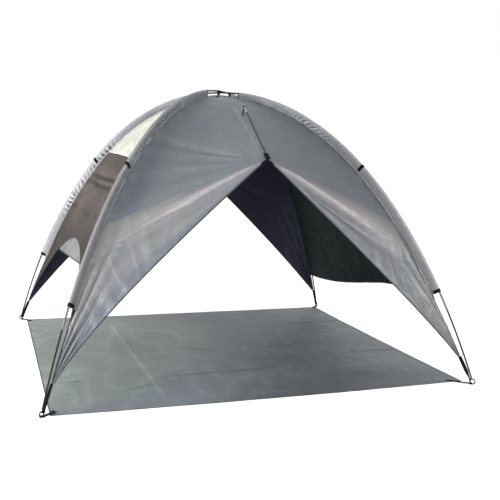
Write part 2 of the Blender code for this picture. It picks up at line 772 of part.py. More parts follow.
def rod_tip(side, line):
    """A closed metal tube slipped over the rod's head."""
    bore = ROD_DIAMETER / 2 + FIT_GAP
    outer = TIP_DIAMETER / 2
    top = FIT_GAP + 2 * (outer - bore)
    mouth = top - TIP_LENGTH
    profile = [(0, top), (outer, top), (outer, mouth), (bore, mouth), (bore, FIT_GAP), (0, FIT_GAP)]
    mesh = bpy.data.meshes.new("tip")
    edges = [(k, k + 1) for k in range(len(profile) - 1)]
    mesh.from_pydata([(x, 0, z) for x, z in profile], edges, [])
    tip = bpy.data.objects.new("tip", mesh)
    place(tip, f"{side}_eave_rod_tip", "aluminium", None, line.frame(line.length))
    turn = tip.modifiers.new("turn", "SCREW")
    turn.steps = ROD_SIDES
    turn.render_steps = ROD_SIDES
    turn.use_merge_vertices = True
    turn.merge_threshold = MERGE_WITHIN


def rod_sling(side, line):
    """A webbing loop that stands on the ridge and holds the rod's head."""
    distance = line.length - SLING_SETBACK
    stand = min(line.height_over_ridge(distance + k * SLING_WIDTH / 2) for k in (-1, 1))
    half = TIP_DIAMETER / 2 + LAY_GAP
    base = -(stand - CLOTH - LAY_GAP)
    outlines = [stadium(half + WEB, base), stadium(half, base + WEB)]
    flat_shape(f"{side}_rod_sling", outlines, SLING_WIDTH, "webbing", None, line.frame(distance))


def stadium(half_width, bottom, steps=6):
    """An upright slot outline, round over the origin and square at its foot."""
    turns = [math.pi * k / steps for k in range(steps + 1)]
    head = [(half_width * math.cos(a), half_width * math.sin(a)) for a in turns]
    return [*head, (-half_width, bottom), (half_width, bottom)]


def mat_edge(a, b, hollow):
    """From corner a to just short of corner b, drawn in by a hollow at the middle."""
    a, b = np.array(a), np.array(b)
    run = b - a
    side = np.array([-run[1], run[0]]) / np.linalg.norm(run)
    points = []
    for k in range(MAT_EDGE_POINTS):
        t = k / MAT_EDGE_POINTS
        points.append(tuple(a + run * t + side * hollow * 4 * t * (1 - t)))
    return points


def mat():
    """A thin ground sheet tied at its corners, so its edges are a little slack or drawn in."""
    order = ("near_left", "near_right", "far_right", "far_left")
    hollows = (-MAT_FRONT_SWELL, MAT_RIGHT_HOLLOW, MAT_BACK_HOLLOW, 0)
    outline = []
    for k, hollow in enumerate(hollows):
        outline += mat_edge(MAT_CORNERS[order[k]], MAT_CORNERS[order[(k + 1) % 4]], hollow)
    lift = Matrix.Translation((0, 0, MAT_THICKNESS / 2))
    flat_shape("ground_mat", [outline], MAT_THICKNESS, "mat", None, lift)


clear_scene()
tent = new_collection("beach_tent")
cutters = new_collection("cutters")

upper_arch = Arch(CROWN_HEIGHT)
lower_arch = Arch(LOWER_CROWN_HEIGHT)
ARMS = {
    "near_left": (upper_arch, math.radians(225)),
    "near_right": (lower_arch, math.radians(315)),
    "far_right": (upper_arch, math.radians(45)),
    "far_left": (lower_arch, math.radians(135)),
}

for arm, (arch, bearing) in ARMS.items():
    frame = frame_at(f"{arm}_plane", bearing)
    ring_pin(arm, arch, frame)
    pole_sleeve(arm, arch, frame)
    sleeve_band(f"sleeve_cuff_{arm}", arch, SLEEVE_START + CUFF_HEIGHT / 2, frame)
    sleeve_band(f"guy_band_{arm}", arch, GUY_BAND_START, frame)
    foot_webbing(arm, arch, frame)
    letter = {"near_left": "a", "near_right": "b"}.get(arm)
    if letter:
        pole_sections(letter, arch, frame)
        shock_cord(letter, arch, frame)

door_panel("front_panel", "near_left", "near_right", -1)
door_panel("rear_panel", "far_right", "far_left", 1)
left_wall()
right_wall()
crown_patch()
crown_tie()
for side, facing in (("front", -1), ("rear", 1)):
    line = RodLine(facing)
    apex_pocket(side, line)
    eave_rod(side, line)
    rod_tip(side, line)
    rod_sling(side, line)
mat()
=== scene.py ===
import math

import bpy
import numpy as np
from mathutils import Matrix, Vector


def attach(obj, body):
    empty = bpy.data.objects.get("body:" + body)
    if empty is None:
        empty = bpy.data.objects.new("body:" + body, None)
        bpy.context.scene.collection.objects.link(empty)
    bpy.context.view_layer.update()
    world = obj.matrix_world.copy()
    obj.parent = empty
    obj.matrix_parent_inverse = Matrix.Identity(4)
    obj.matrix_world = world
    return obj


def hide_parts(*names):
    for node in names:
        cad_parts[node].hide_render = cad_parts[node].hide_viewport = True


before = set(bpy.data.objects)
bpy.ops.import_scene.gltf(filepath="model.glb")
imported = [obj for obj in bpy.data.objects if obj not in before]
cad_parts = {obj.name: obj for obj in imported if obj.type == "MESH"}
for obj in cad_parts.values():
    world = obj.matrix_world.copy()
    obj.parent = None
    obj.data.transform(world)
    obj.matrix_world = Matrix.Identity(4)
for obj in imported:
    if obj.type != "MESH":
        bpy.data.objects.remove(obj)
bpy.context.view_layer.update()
print("frame loaded")

# The lines that everything hangs from, in metres, as in the model
tent = {
    "footSpacing": 2.103, "crownHeight": 1.471, "poleWidth": 0.0085, "polePulls": (0.178, 0.513, 0.494),
    "ringRadius": 0.016, "ringWire": 0.0068, "seamDrop": 0.044, "crownDrop": 0.027, "cornerRise": 0.021,
    "seamInset": 0.0013, "crownReach": 0.03, "crownBare": 0.126, "sleeveStart": 0.475, "cornerStart": 0.137,
    "layGap": 0.0005,
}
bearings = {"near_left": 225, "near_right": 315, "far_right": 45, "far_left": 135}
arms = list(bearings)
ringReach = tent["ringRadius"] - tent["ringWire"] / 2


# Shapes and meshes

def ease(x):
    # 3x^2 - 2x^3 between 0 and 1
    x = np.clip(x, 0, 1)
    return x * x * (3 - 2 * x)


def hill(x, width):
    # e to the minus (x over width) squared
    return np.exp(-((x / width) ** 2))


def unit(v):
    return v / np.maximum(np.linalg.norm(v, axis=-1, keepdims=True), 1e-12)


def softNoise(x, y, seed):
    # random heights on a lattice that repeats, eased between its corners, from 0 to 1
    size = 61
    lattice = np.random.default_rng(seed).random((size, size))
    xi, yi = np.floor(x).astype(int), np.floor(y).astype(int)
    fx, fy = ease(x - xi), ease(y - yi)
    a, b, c, d = (lattice[(xi + i) % size, (yi + j) % size] for j in (0, 1) for i in (0, 1))
    return (a * (1 - fx) + b * fx) * (1 - fy) + (c * (1 - fx) + d * fx) * fy


def creases(x, y, seed):
    # the noise folded at its middle, which leaves sharp crests between soft hollows
    return 1 - np.abs(2 * softNoise(x, y, seed) - 1)


def polar(points, centre, axis):
    # distance from a point, and degrees off an axis through it
    away = points - centre
    dist = np.linalg.norm(away, axis=-1)
    return dist, np.degrees(np.arccos(np.clip(away @ axis / np.maximum(dist, 1e-9), -1, 1)))


def fanFolds(dist, angle, folds):
    # crests that radiate from a point. Each is an angle off the axis and a half width in
    # degrees, a height in metres, and the distances where it has risen and has died away
    total = np.zeros(len(dist))
    for at, width, height, risen, gone in folds:
        run = ease(dist / risen) * (1 - ease((dist - risen) / (gone - risen)))
        total += height * run * hill(angle - at, width)
    return total


def crossed(points, quads):
    # each face's diagonals crossed: twice its area, along its normal
    a, b, c, d = (points[quads[:, k]] for k in range(4))
    return np.cross(c - a, d - b)


def vertexNormals(points, quads):
    face = crossed(points, quads)
    total = np.zeros_like(points)
    for k in range(4):
        np.add.at(total, quads[:, k], face)
    return unit(total)


def faced(points, quads, middle=(0, 0, 0.55)):
    # turns every face if most of them look towards the middle
    away = (points - middle)[quads[:, 0]]
    return quads if (crossed(points, quads) * away).sum() > 0 else quads[:, ::-1]


def closedVolume(points, quads):
    # six times the signed volume under the faces, seen from their middle
    p = points - points.mean(0)
    a, b, c, d = (p[quads[:, k]] for k in range(4))
    return (np.cross(a, b) * c).sum() + (np.cross(a, c) * d).sum()


def numbered(rows, columns):
    return np.arange(rows * columns).reshape(rows, columns)


def gridQuads(index):
    return np.stack([index[:-1, :-1], index[1:, :-1], index[1:, 1:], index[:-1, 1:]], -1).reshape(-1, 4)


def gridUv(run, across):
    return np.stack(np.broadcast_arrays(run[:, None], across[None]), -1)


def meshPiece(name, points, faces, uv=None, values=None, materials=(), slots=None, flatEnds=0):
    # uv and values are given for each point, slots for each face
    mesh = bpy.data.meshes.new(name)
    faces = faces.tolist() if isinstance(faces, np.ndarray) else faces
    mesh.from_pydata(np.reshape(points, (-1, 3)).tolist(), [], faces)
    mesh.polygons.foreach_set("use_smooth", np.arange(len(faces)) < len(faces) - flatEnds)
    if uv is not None:
        corner = np.zeros(len(mesh.loops), np.int32)
        mesh.loops.foreach_get("vertex_index", corner)
        layer = mesh.uv_layers.new(name="UVMap")
        layer.data.foreach_set("uv", np.asarray(uv, np.float32).reshape(-1, 2)[corner].ravel())
    for key, value in (values or {}).items():
        layer = mesh.attributes.new(key, "FLOAT", "POINT")
        layer.data.foreach_set("value", np.broadcast_to(value, len(mesh.vertices)).astype(np.float32))
    for material in materials:
        mesh.materials.append(material)
    if slots is not None:
        mesh.polygons.foreach_set("material_index", np.asarray(slots, np.int32))
    mesh.update()
    obj = bpy.data.objects.new(name, mesh)
    bpy.context.scene.collection.objects.link(obj)
    return obj


def ringMesh(name, rings, materials, uv, closed=False, ringSlots=None, values=None):
    # equal rings of points joined in a chain; closed joins the last to the first
    count, around = rings.shape[:2]
    index = numbered(count, around)
    index = np.concatenate([index, index[:, :1]], 1)
    if closed:
        index = np.concatenate([index, index[:1]], 0)
    quads = gridQuads(index)
    faces = quads.tolist()
    slots = None if ringSlots is None else np.repeat(ringSlots, around).tolist()
    if not closed:
        faces += [list(range(around)), list(range(count * around - 1, (count - 1) * around - 1, -1))]
        slots = slots and slots + [slots[0], slots[-1]]
    obj = meshPiece(name, rings, faces, uv, values, materials, slots, 0 if closed else 2)
    if closedVolume(rings.reshape(-1, 3), quads) < 0:
        obj.data.flip_normals()
        obj.data.update()
    return obj


def placed(obj, node=None, body="tent"):
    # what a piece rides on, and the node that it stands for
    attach(obj, body)
    if node:
        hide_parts(node)
    return obj


def joined(name, parts):
    for obj in bpy.context.selected_objects:
        obj.select_set(False)
    for obj in parts:
        obj.select_set(True)
    bpy.context.view_layer.objects.active = parts[0]
    bpy.ops.object.join()
    parts[0].name = parts[0].data.name = name
    return parts[0]


def carried(path, across, outline, closed=False):
    # an outline of (across, up) offsets set square to a path; across is the path's sideways
    # direction, and up is square to it and to the path
    along = unit(np.roll(path, -1, 0) - np.roll(path, 1, 0) if closed else np.gradient(path, axis=0))
    across = unit(np.broadcast_to(across, path.shape))
    up = unit(np.cross(along, across))
    outline = np.broadcast_to(outline, (len(path), *np.shape(outline)[-2:]))
    return path[:, None] + across[:, None] * outline[..., :1] + up[:, None] * outline[..., 1:]


def turns(sides):
    return 2 * np.pi * np.arange(sides) / sides


def spun(centres, radii, first, second, sides):
    # circles about centres, in the plane of two directions
    turn = turns(sides)[:, None]
    spokes = np.cos(turn) * np.atleast_2d(first)[:, None] + np.sin(turn) * second
    return centres[:, None] + np.asarray(radii)[:, None, None] * spokes


def tubeOutline(radius, sides):
    return np.stack([radius * np.cos(turns(sides)), radius * np.sin(turns(sides))], -1)


def webOutline(width, thickness):
    # a flat strip's outline with its edges drawn thin
    w, t = width / 2, thickness / 2
    half = [(-w, 0), (-w + t * 0.5, t * 0.75), (-w + t * 1.6, t), (-w * 0.4, t * 0.92), (0, t * 0.97),
            (w * 0.4, t * 0.92), (w - t * 1.6, t), (w - t * 0.5, t * 0.75)]
    return np.array(half + [(-x, -y) for x, y in half])


def pathLength(path):
    return np.concatenate([[0], np.cumsum(np.linalg.norm(np.diff(path, axis=0), axis=1))])


def sampled(at, run, values):
    # each column of a table read at places between its rows
    return np.stack([np.interp(at, run, v) for v in values.T], -1)


def resampled(path, step, closed=False):
    # points an even step apart along a path
    if closed:
        path = np.concatenate([path, path[:1]])
    run = pathLength(path)
    at = np.linspace(0, run[-1], max(int(round(run[-1] / step)), 2) + 1)
    return sampled(at[:-1] if closed else at, run, path)


def rounded(path, rounds, closed=False):
    # each corner cut at a quarter and three quarters of its edges, again and again
    for _ in range(rounds):
        ahead = np.roll(path, -1, 0) if closed else path[1:]
        here = path if closed else path[:-1]
        cut = np.stack([here * 0.75 + ahead * 0.25, here * 0.25 + ahead * 0.75], 1).reshape(-1, 3)
        path = cut if closed else np.concatenate([path[:1], cut, path[-1:]])
    return path


def cubic(pulls, count):
    # a curve from the first point to the last, drawn towards the two between them
    a, b, c, d = (np.array(p, float) for p in pulls)
    t = np.linspace(0, 1, count)[:, None]
    return (1 - t) ** 3 * a + 3 * (1 - t) ** 2 * t * b + 3 * (1 - t) * t**2 * c + t**3 * d


# The poles' curves

def poleCurve(crown):
    # a cubic from the ring's middle to the crown, mirrored, as even steps of its length. Its
    # pulls are shares: in from the foot, up from the foot, and out from the crown's middle
    reach, low = tent["footSpacing"] / math.sqrt(2), tent["ringRadius"]
    inward, lift, lean = tent["polePulls"]
    half = cubic([(reach, low), (reach * (1 - inward), low + (crown - low) * lift), (reach * lean, crown),
                  (0, crown)], 801)
    both = np.concatenate([half, half[-2::-1] * (-1, 1)])
    run = pathLength(both)
    steps = np.linspace(0, run[-1], len(both))
    line = sampled(steps, run, both)
    along = unit(np.gradient(line, axis=0))
    return {"run": steps, "line": line, "along": along, "length": steps[-1], "crown": crown}


upperCurve = poleCurve(tent["crownHeight"])
lowerCurve = poleCurve(tent["crownHeight"] - tent["poleWidth"] - tent["layGap"])
curves = {"near_left": upperCurve, "far_right": upperCurve, "near_right": lowerCurve, "far_left": lowerCurve}


def bearing(arm):
    turn = math.radians(bearings[arm])
    return math.cos(turn), math.sin(turn)


def seamDrop(curve, arcs):
    # depth of the seam below the pole: level for both poles at the crown, and drawn up to
    # the pole between the sleeve and the corner
    share = np.minimum(arcs, curve["length"] - arcs) / (curve["length"] / 2)
    crownDrop = curve["crown"] - tent["crownHeight"] + tent["crownDrop"]
    below = np.clip((tent["sleeveStart"] - arcs) / (tent["sleeveStart"] - tent["cornerStart"]), 0, 1)
    return tent["seamDrop"] + (crownDrop - tent["seamDrop"]) * share**4 - tent["cornerRise"] * below


def onPole(arm, arcs, out=0.0, side=0.0):
    # a point carried on a pole: out from its line in its own plane, and to one side of it
    curve, (cos, sin) = curves[arm], bearing(arm)
    place, along = (sampled(arcs, curve["run"], curve[key]) for key in ("line", "along"))
    r = place[..., 0] + out * along[..., 1]
    z = place[..., 1] - out * along[..., 0]
    return np.stack(np.broadcast_arrays(r * cos - side * sin, r * sin + side * cos, z), -1)


def seam(arm, arcs, side, depth=0.0):
    return onPole(arm, arcs, -seamDrop(curves[arm], arcs) - depth, side * tent["seamInset"])


def arcAtReach(arm, reach):
    # along the pole to where it has come in to a distance from the crown's middle
    curve = curves[arm]
    half = len(curve["run"]) // 2 + 1
    return float(np.interp(-reach, -curve["line"][:half, 0], curve["run"][:half]))


def arcAtHeight(arm, height):
    # along the pole to where its seam reaches a height
    arcs = curves[arm]["run"][: len(curves[arm]["run"]) // 2 + 1]
    return np.interp(height, seam(arm, arcs, 0)[:, 2], arcs)


def poleFrame(arm, arcs):
    # directions at places along a pole: along it, and out of the tent in its plane
    cos, sin = bearing(arm)
    r, z = sampled(arcs, curves[arm]["run"], curves[arm]["along"]).T
    return np.stack([r * cos, r * sin, z], -1), np.stack([z * cos, z * sin, -r], -1)


def sideways(arm):
    cos, sin = bearing(arm)
    return np.array([-sin, cos, 0.0])


# Materials

def srgb(*levels):
    # sRGB levels as the light that they stand for
    levels = [level / 255 for level in levels]
    return tuple(v / 12.92 if v < 0.04045 else ((v + 0.055) / 1.055) ** 2.4 for v in levels)


def shaderOf(material):
    return material.node_tree.nodes["Principled BSDF"]


def blank(name, color, roughness, metallic=0.0, specular=0.5):
    material = bpy.data.materials.new(name)
    material.use_nodes = True
    for socket, value in (("Base Color", (*color, 1)), ("Roughness", roughness), ("Metallic", metallic),
                          ("Specular IOR Level", specular)):
        shaderOf(material).inputs[socket].default_value = value
    return material


def add(owner, kind, inputs=None, **props):
    # a node of a material or of the world; an input is another node's socket or a plain value
    node = owner.node_tree.nodes.new(kind)
    for key, value in props.items():
        setattr(node, key, value)
    for key, value in (inputs or {}).items():
        if isinstance(value, bpy.types.NodeSocket):
            owner.node_tree.links.new(value, node.inputs[key])
        else:
            node.inputs[key].default_value = value
    return node


def feed(material, socket, value):
    material.node_tree.links.new(value, shaderOf(material).inputs[socket])


def maths(owner, operation, a, b=0.0, c=0.0):
    return add(owner, "ShaderNodeMath", {0: a, 1: b, 2: c}, operation=operation).outputs[0]


def spread(owner, value, low, high, fromLow=0.0, fromHigh=1.0):
    return add(owner, "ShaderNodeMapRange", {0: value, 1: fromLow, 2: fromHigh, 3: low, 4: high}).outputs[0]


def blended(material, share, a, b, mode="MIX"):
    a, b = ((*c, 1) if isinstance(c, tuple) else c for c in (a, b))
    inputs = {0: share, 6: a, 7: b}
    return add(material, "ShaderNodeMix", inputs, data_type="RGBA", blend_type=mode).outputs[2]


def noise(material, vector, scale, detail=3.0, roughness=0.5, distortion=0.0):
    inputs = {"Vector": vector, "Scale": scale, "Detail": detail, "Roughness": roughness,
              "Distortion": distortion}
    return add(material, "ShaderNodeTexNoise", inputs).outputs["Fac"]


def placeOf(material):
    return add(material, "ShaderNodeTexCoord").outputs["Object"]


def uvOf(material):
    return add(material, "ShaderNodeTexCoord").outputs["UV"]


def stretched(material, vector, scale):
    return add(material, "ShaderNodeMapping", {"Vector": vector, "Scale": scale}).outputs[0]


def waves(material, pitches):
    # a sine along each direction of the uv map, one to a pitch
    axes = add(material, "ShaderNodeSeparateXYZ", {0: uvOf(material)})
    return [maths(material, "SINE", maths(material, "MULTIPLY", axes.outputs[k], 2 * math.pi / pitch))
            for k, pitch in enumerate(pitches)]


def bumpOf(material, height, strength, distance, under=None):
    inputs = {"Height": height, "Strength": strength, "Distance": distance}
    if under is not None:
        inputs["Normal"] = under
    return add(material, "ShaderNodeBump", inputs).outputs[0]


def clothBump(material, crumple, strength, distance, pitch, *threads):
    # a crumple, and over it threads over and under: one wave along each of the cloth's ways
    under = bumpOf(material, crumple, strength, distance)
    weave = maths(material, "MULTIPLY", *waves(material, (pitch, pitch)))
    weave = maths(material, "MULTIPLY_ADD", weave, 0.5, 0.5)
    feed(material, "Normal", bumpOf(material, weave, *threads, under))


def toned(material, color, tints):
    # painted reflections come in as tints by values stored on the cloth, and then its tone darkens or
    # lightens it with painted shade and light
    for key, tint in tints.items():
        share = add(material, "ShaderNodeAttribute", attribute_name=key).outputs["Fac"]
        color = blended(material, share, color, tint)
    tone = add(material, "ShaderNodeAttribute", attribute_name="tone").outputs["Fac"]
    grey = add(material, "ShaderNodeCombineColor", {0: tone, 1: tone, 2: tone}).outputs[0]
    feed(material, "Base Color", blended(material, 1.0, color, grey, "MULTIPLY"))


def clothMaterial(name, look):
    # large and small mottling break up the colour, and a fine crumple and the weave raise it
    color = look["color"]
    material = blank(name, color, look["roughness"], look.get("metallic", 0.0), look.get("specular", 0.5))
    shaderOf(material).inputs["Sheen Weight"].default_value = look.get("sheen", 0.0)
    place = placeOf(material)
    large = noise(material, place, look["patches"], 2.0)
    small = noise(material, place, look["patches"] * 9, 4.0, 0.6)
    mixed = maths(material, "MULTIPLY_ADD", large, 0.7, maths(material, "MULTIPLY", small, 0.3))
    darker = tuple(c * (1 - look["mottle"]) for c in color)
    lighter = tuple(min(c * (1 + look["mottle"]), 1) for c in color)
    mottled = blended(material, spread(material, mixed, 0, 1, 0.35, 0.65), darker, lighter)
    # veins: a streaked pattern over the mottling, which paints the light and shade of a fine crumple
    if "veins" in look:
        vein = noise(material, stretched(material, place, look["veinScale"]), 1.0, 5.0, 0.6, 1.5)
        mottled = blended(material, spread(material, vein, 0, 0.7, 0.48, 0.66), mottled, look["veins"])
    toned(material, mottled, {"warm_reflection": look.get("warm", color), "cool_reflection": look.get("cool", color)})
    low = look["roughness"]
    feed(material, "Roughness", spread(material, small, low - 0.06, low + 0.1, 0.3, 0.7))
    crumple = noise(material, stretched(material, place, (17, 17, 24)), 1.0, 5.0, 0.6, 0.9)
    clothBump(material, crumple, look["crumple"], 0.006, 0.0012, 0.12, 0.0003)
    return material


shaded = {"roughness": 0.75, "specular": 0.12, "patches": 2.0, "mottle": 0.12, "crumple": 0.25}
silver = {"metallic": 0.3, "sheen": 0.05}
plain = {"roughness": 0.7, "specular": 0.1}
looks = {
    # the warm and cool tints of the silver and sleeve cloths are painted reflections, laid on where the
    # cloth's stored values ask for them
    "silverCloth": silver | {
        "color": srgb(138, 146, 149), "warm": srgb(178, 169, 170), "cool": srgb(134, 138, 156),
        "roughness": 0.42, "patches": 2.2, "mottle": 0.07, "crumple": 0.6,
        "veins": srgb(153, 160, 164), "veinScale": (15, 15, 7)},
    "innerCloth": shaded | {"color": srgb(80, 81, 102)},
    # the right wall's inside: its dark green is partly the cloth's own colour and partly painted shade inside
    # the tent
    "greenCloth": shaded | {"color": srgb(27, 39, 41)},
    "sleeveCloth": silver | {
        "color": srgb(142, 146, 152), "warm": srgb(170, 164, 166),
        "roughness": 0.4, "patches": 5.0, "mottle": 0.08, "crumple": 0.5},
    # the upper left wall: the silver cloth painted near white, a painted highlight where it faces up to the
    # sky
    "highlitCloth": {
        "color": srgb(226, 226, 214), "specular": 0.2,
        "roughness": 0.6, "patches": 7.0, "mottle": 0.1, "crumple": 0.5,
        "veins": srgb(184, 184, 168), "veinScale": (11, 5, 11)},
    # the lower left wall: the same silver cloth painted brown-grey, painted shade with a painted brown
    # reflection of the ground
    "shadedWallCloth": plain | {
        "color": srgb(112, 104, 100), "patches": 4.0, "mottle": 0.2, "crumple": 0.3,
        "veins": srgb(80, 74, 71), "veinScale": (6, 1.6, 9)},
    "liningCloth": plain | {"color": srgb(176, 176, 174), "patches": 14.0, "mottle": 0.14, "crumple": 0.6},
    "bindingTape": {
        "color": srgb(44, 48, 54), "roughness": 0.7, "patches": 8.0, "mottle": 0.12, "crumple": 0.1},
    "matEdge": {
        "color": srgb(50, 54, 55), "roughness": 0.6, "sheen": 0.1,
        "patches": 8.0, "mottle": 0.1, "crumple": 0.1},
}


def grained(material, pattern, low, high, dark, pale, height, strength, distance):
    # two colours by a pattern, between two of its levels, and a height that raises the surface
    feed(material, "Base Color", blended(material, spread(material, pattern, 0, 1, low, high), dark, pale))
    feed(material, "Normal", bumpOf(material, height, strength, distance))
    return material


def webbingMaterial():
    # ribs across the strip, and a dusty bloom on its crowns
    material = blank("webbing", srgb(16, 16, 18), 0.85, 0.0, 0.12)
    ribs, threads = waves(material, (0.0016, 0.0011))
    dust = noise(material, placeOf(material), 60.0, 4.0)
    return grained(material, dust, 0.4, 0.75, srgb(11, 11, 13), srgb(28, 26, 27),
                   maths(material, "MULTIPLY_ADD", threads, 0.35, ribs), 0.35, 0.0004)


def fibreMaterial():
    # dark glass fibre: faint lengthwise strands under a clear skin
    material = blank("glass_fibre", srgb(40, 46, 43), 0.6, 0.0, 0.12)
    strands = noise(material, stretched(material, uvOf(material), (30, 2600, 1)), 1.0, 3.0, 0.6)
    return grained(material, strands, 0.3, 0.7, srgb(26, 31, 29), srgb(50, 58, 54), strands, 0.1, 0.0002)


def metalMaterial(name, color, roughness):
    # drawn metal: fine scratches along it and dulled patches
    material = blank(name, color, roughness, 1.0)
    scratches = noise(material, stretched(material, uvOf(material), (90, 2400, 1)), 1.0, 3.0, 0.6)
    patches = noise(material, placeOf(material), 45.0, 3.0)
    feed(material, "Roughness", spread(material, patches, roughness - 0.08, roughness + 0.14, 0.3, 0.7))
    dark = tuple(c * 0.75 for c in color)
    return grained(material, patches, 0.3, 0.7, dark, color, scratches, 0.12, 0.0002)


def spunMaterial(name, color, roughness, scale, dark, pale, strength, distance):
    # thread or braided cord: a fine twist in two shades
    material = blank(name, color, roughness)
    twist = noise(material, placeOf(material), scale, 2.0)
    return grained(material, twist, 0.35, 0.65, dark, pale, twist, strength, distance)


cloths = {name: clothMaterial(name, look) for name, look in looks.items()}
cloths["webbing"] = webbing = webbingMaterial()
glassFibre = fibreMaterial()
steel = metalMaterial("steel", srgb(114, 124, 121), 0.5)
ringSteel = metalMaterial("ring_steel", srgb(48, 72, 62), 0.55)
aluminium = metalMaterial("aluminium", srgb(176, 178, 180), 0.38)
elastic = spunMaterial(
    "elastic_cord", srgb(24, 24, 26), 0.8, 700.0, srgb(16, 16, 18), srgb(44, 44, 46), 0.4, 0.0004)
thread = spunMaterial(
    "thread", srgb(205, 205, 208), 0.6, 900.0, srgb(175, 176, 180), srgb(225, 225, 226), 0.3, 0.0003)
print("materials made")


# Cloth pieces

def clothPiece(name, points, quads, uv, values, outside, inside, thickness=0.0011):
    obj = meshPiece(name, points, quads, uv, values, [cloths[outside], cloths[inside]])
    return thickened(obj, thickness, 1)


def thickened(obj, thickness, innerSlot=0):
    shell = obj.modifiers.new("thickness", "SOLIDIFY")
    shell.thickness = thickness
    shell.offset = 0
    shell.material_offset = innerSlot
    return obj


def tape(name, edge, inner, width, material="bindingTape", lip=0.0012, thickness=0.0024):
    # a folded tape over a cloth's edge: its outline is a rounded strip from just outside the
    # edge to its width inside it
    inward = unit(inner - edge)
    path = edge + inward * (width / 2 - lip)
    along = unit(np.gradient(path, axis=0))
    inward = unit(inward - (inward * along).sum(-1, keepdims=True) * along)
    outline = webOutline(width, thickness)
    uv = gridUv(pathLength(path), outline[:, 0])
    obj = ringMesh(name, carried(path, inward, outline), [cloths[material]], uv, values={"tone": 1})
    return placed(obj)


stitch = {
    "length": 0.003, "gap": 0.0012, "width": 0.0007, "lift": 0.0004,
    "points": [(-0.5, 0, -0.4), (-0.3, 1, 0.1), (-0.3, 0, 0.9), (-0.3, -1, 0.1), (0.3, 1, 0.1), (0.3, 0, 0.9),
               (0.3, -1, 0.1), (0.5, 0, -0.4)],
    "faces": [(0, 2, 1), (0, 3, 2), (1, 2, 5, 4), (2, 3, 6, 5), (1, 4, 6, 3), (4, 5, 7), (5, 6, 7), (4, 7, 6),
              (0, 1, 3)],
}


def stitches(name, rows):
    # rows of short threads: each a slim bead laid along the row's path
    length, half, beads = stitch["length"], stitch["width"] / 2, []
    for path, normal in rows:
        even = resampled(path, length + stitch["gap"])
        run = pathLength(path)
        up = unit(sampled(np.linspace(0, run[-1], len(even)), run, normal))
        along = unit(np.gradient(even, axis=0))
        side = unit(np.cross(along, up))
        centre = even + up * stitch["lift"]
        beads.append(np.stack([centre + along * (a * length) + side * (s * half) + up * (h * half)
                               for a, s, h in stitch["points"]], 1))
    beads = np.concatenate(beads)
    faces = []
    for face in stitch["faces"]:
        faces += (np.arange(len(beads))[:, None] * len(stitch["points"]) + np.array(face)).tolist()
    placed(meshPiece(name, beads, faces, materials=[thread]))


# Door panels: a hood from the crown to the apex, and a wing down each side of the door

door = {
    "flat": (2.1, 1.75), "rows": 100, "columns": 64, "wingRows": 120,
    "apexOut": 0.88705, "apexHeight": 1.11105, "kneeOut": 0.46203, "kneeHeight": 1.32302, "ridgeRound": 1.9,
    "creaseHeight": 0.8002, "cornerWidth": 0.01, "ridgeSoftness": 0.05, "ridgeFall": 0.006,
    "hoodSag": 0.008, "wingSag": 0.006, "swell": 0.005,
    "crinkle": 0.006, "pucker": 0.009, "puckerPitch": 0.034,
    "ridgeCrests": [(-0.034, 0.006, -0.005), (-0.023, 0.008, 0.011), (0.0, 0.005, 0.004)],
    # the fold shade, the crest tint and the hood and wing tones are painted light and shade: shade and light
    # on the folds, a warm painted reflection on the crests and upper wings, the hood darker and the wings
    # lighter
    "hemCalm": 7, "upright": 0.0045, "foldShade": 22, "crestReflection": 60, "hemTape": 0.007, "guardTape": 0.011,
    "hoodTone": {"left": 0.55, "right": 0.5}, "wingTone": {"left": 0.66, "right": 0.56}, "wingReflection": 0.25,
    "hemBows": {"near_left": (0.04, 0.75), "near_right": (0.016, 0.75), "far_right": (0.02, 0.6),
                "far_left": (0.036, 0.6)},
}
hoodFolds = [
    (70.5, 2.0, 0.008, 0.12, 1.0), (65.5, 1.5, -0.006, 0.12, 1.0), (60.0, 1.9, 0.006, 0.12, 0.9),
    (53.5, 1.8, -0.004, 0.15, 0.8), (46.5, 2.1, 0.005, 0.15, 0.9), (39.0, 1.8, -0.003, 0.15, 0.9),
    (31.0, 2.2, 0.004, 0.15, 0.8)]
fineFolds = {
    "apex": hoodFolds + [
        (3.5, 1.0, -0.002, 0.1, 0.7), (7.5, 1.2, 0.003, 0.12, 0.7), (10.5, 1.0, -0.003, 0.12, 0.7),
        (14.5, 1.0, 0.003, 0.12, 0.6), (17.0, 0.8, -0.003, 0.1, 0.6), (19.8, 2.3, 0.011, 0.1, 1.1)],
    "corner": [
        (2.5, 1.0, 0.009, 0.12, 0.9), (5.0, 0.9, -0.007, 0.1, 0.8), (7.5, 1.1, 0.011, 0.14, 1.0),
        (10.5, 1.1, -0.008, 0.12, 0.85), (14.0, 1.3, 0.007, 0.12, 0.7), (18.0, 1.5, -0.005, 0.12, 0.55)],
    "long": 0.0055, "upright": 1.0,
}
broadFolds = {
    "apex": [
        (60.0, 3.0, 0.002, 0.12, 0.6), (48.0, 2.5, -0.002, 0.12, 0.6), (38.0, 3.0, 0.002, 0.12, 0.6),
        (18.4, 4.0, 0.014, 0.2, 1.25), (11.4, 3.0, -0.015, 0.3, 1.2), (5.5, 1.6, 0.004, 0.2, 0.8)],
    "corner": [(2.6, 1.1, 0.012, 0.12, 0.9), (5.4, 1.3, -0.007, 0.1, 0.75), (9.0, 1.8, 0.005, 0.14, 0.7)],
    "long": 0.003, "upright": 0.4,
}
foldStyles = {
    "near_left": fineFolds, "near_right": broadFolds, "far_right": fineFolds, "far_left": broadFolds,
}


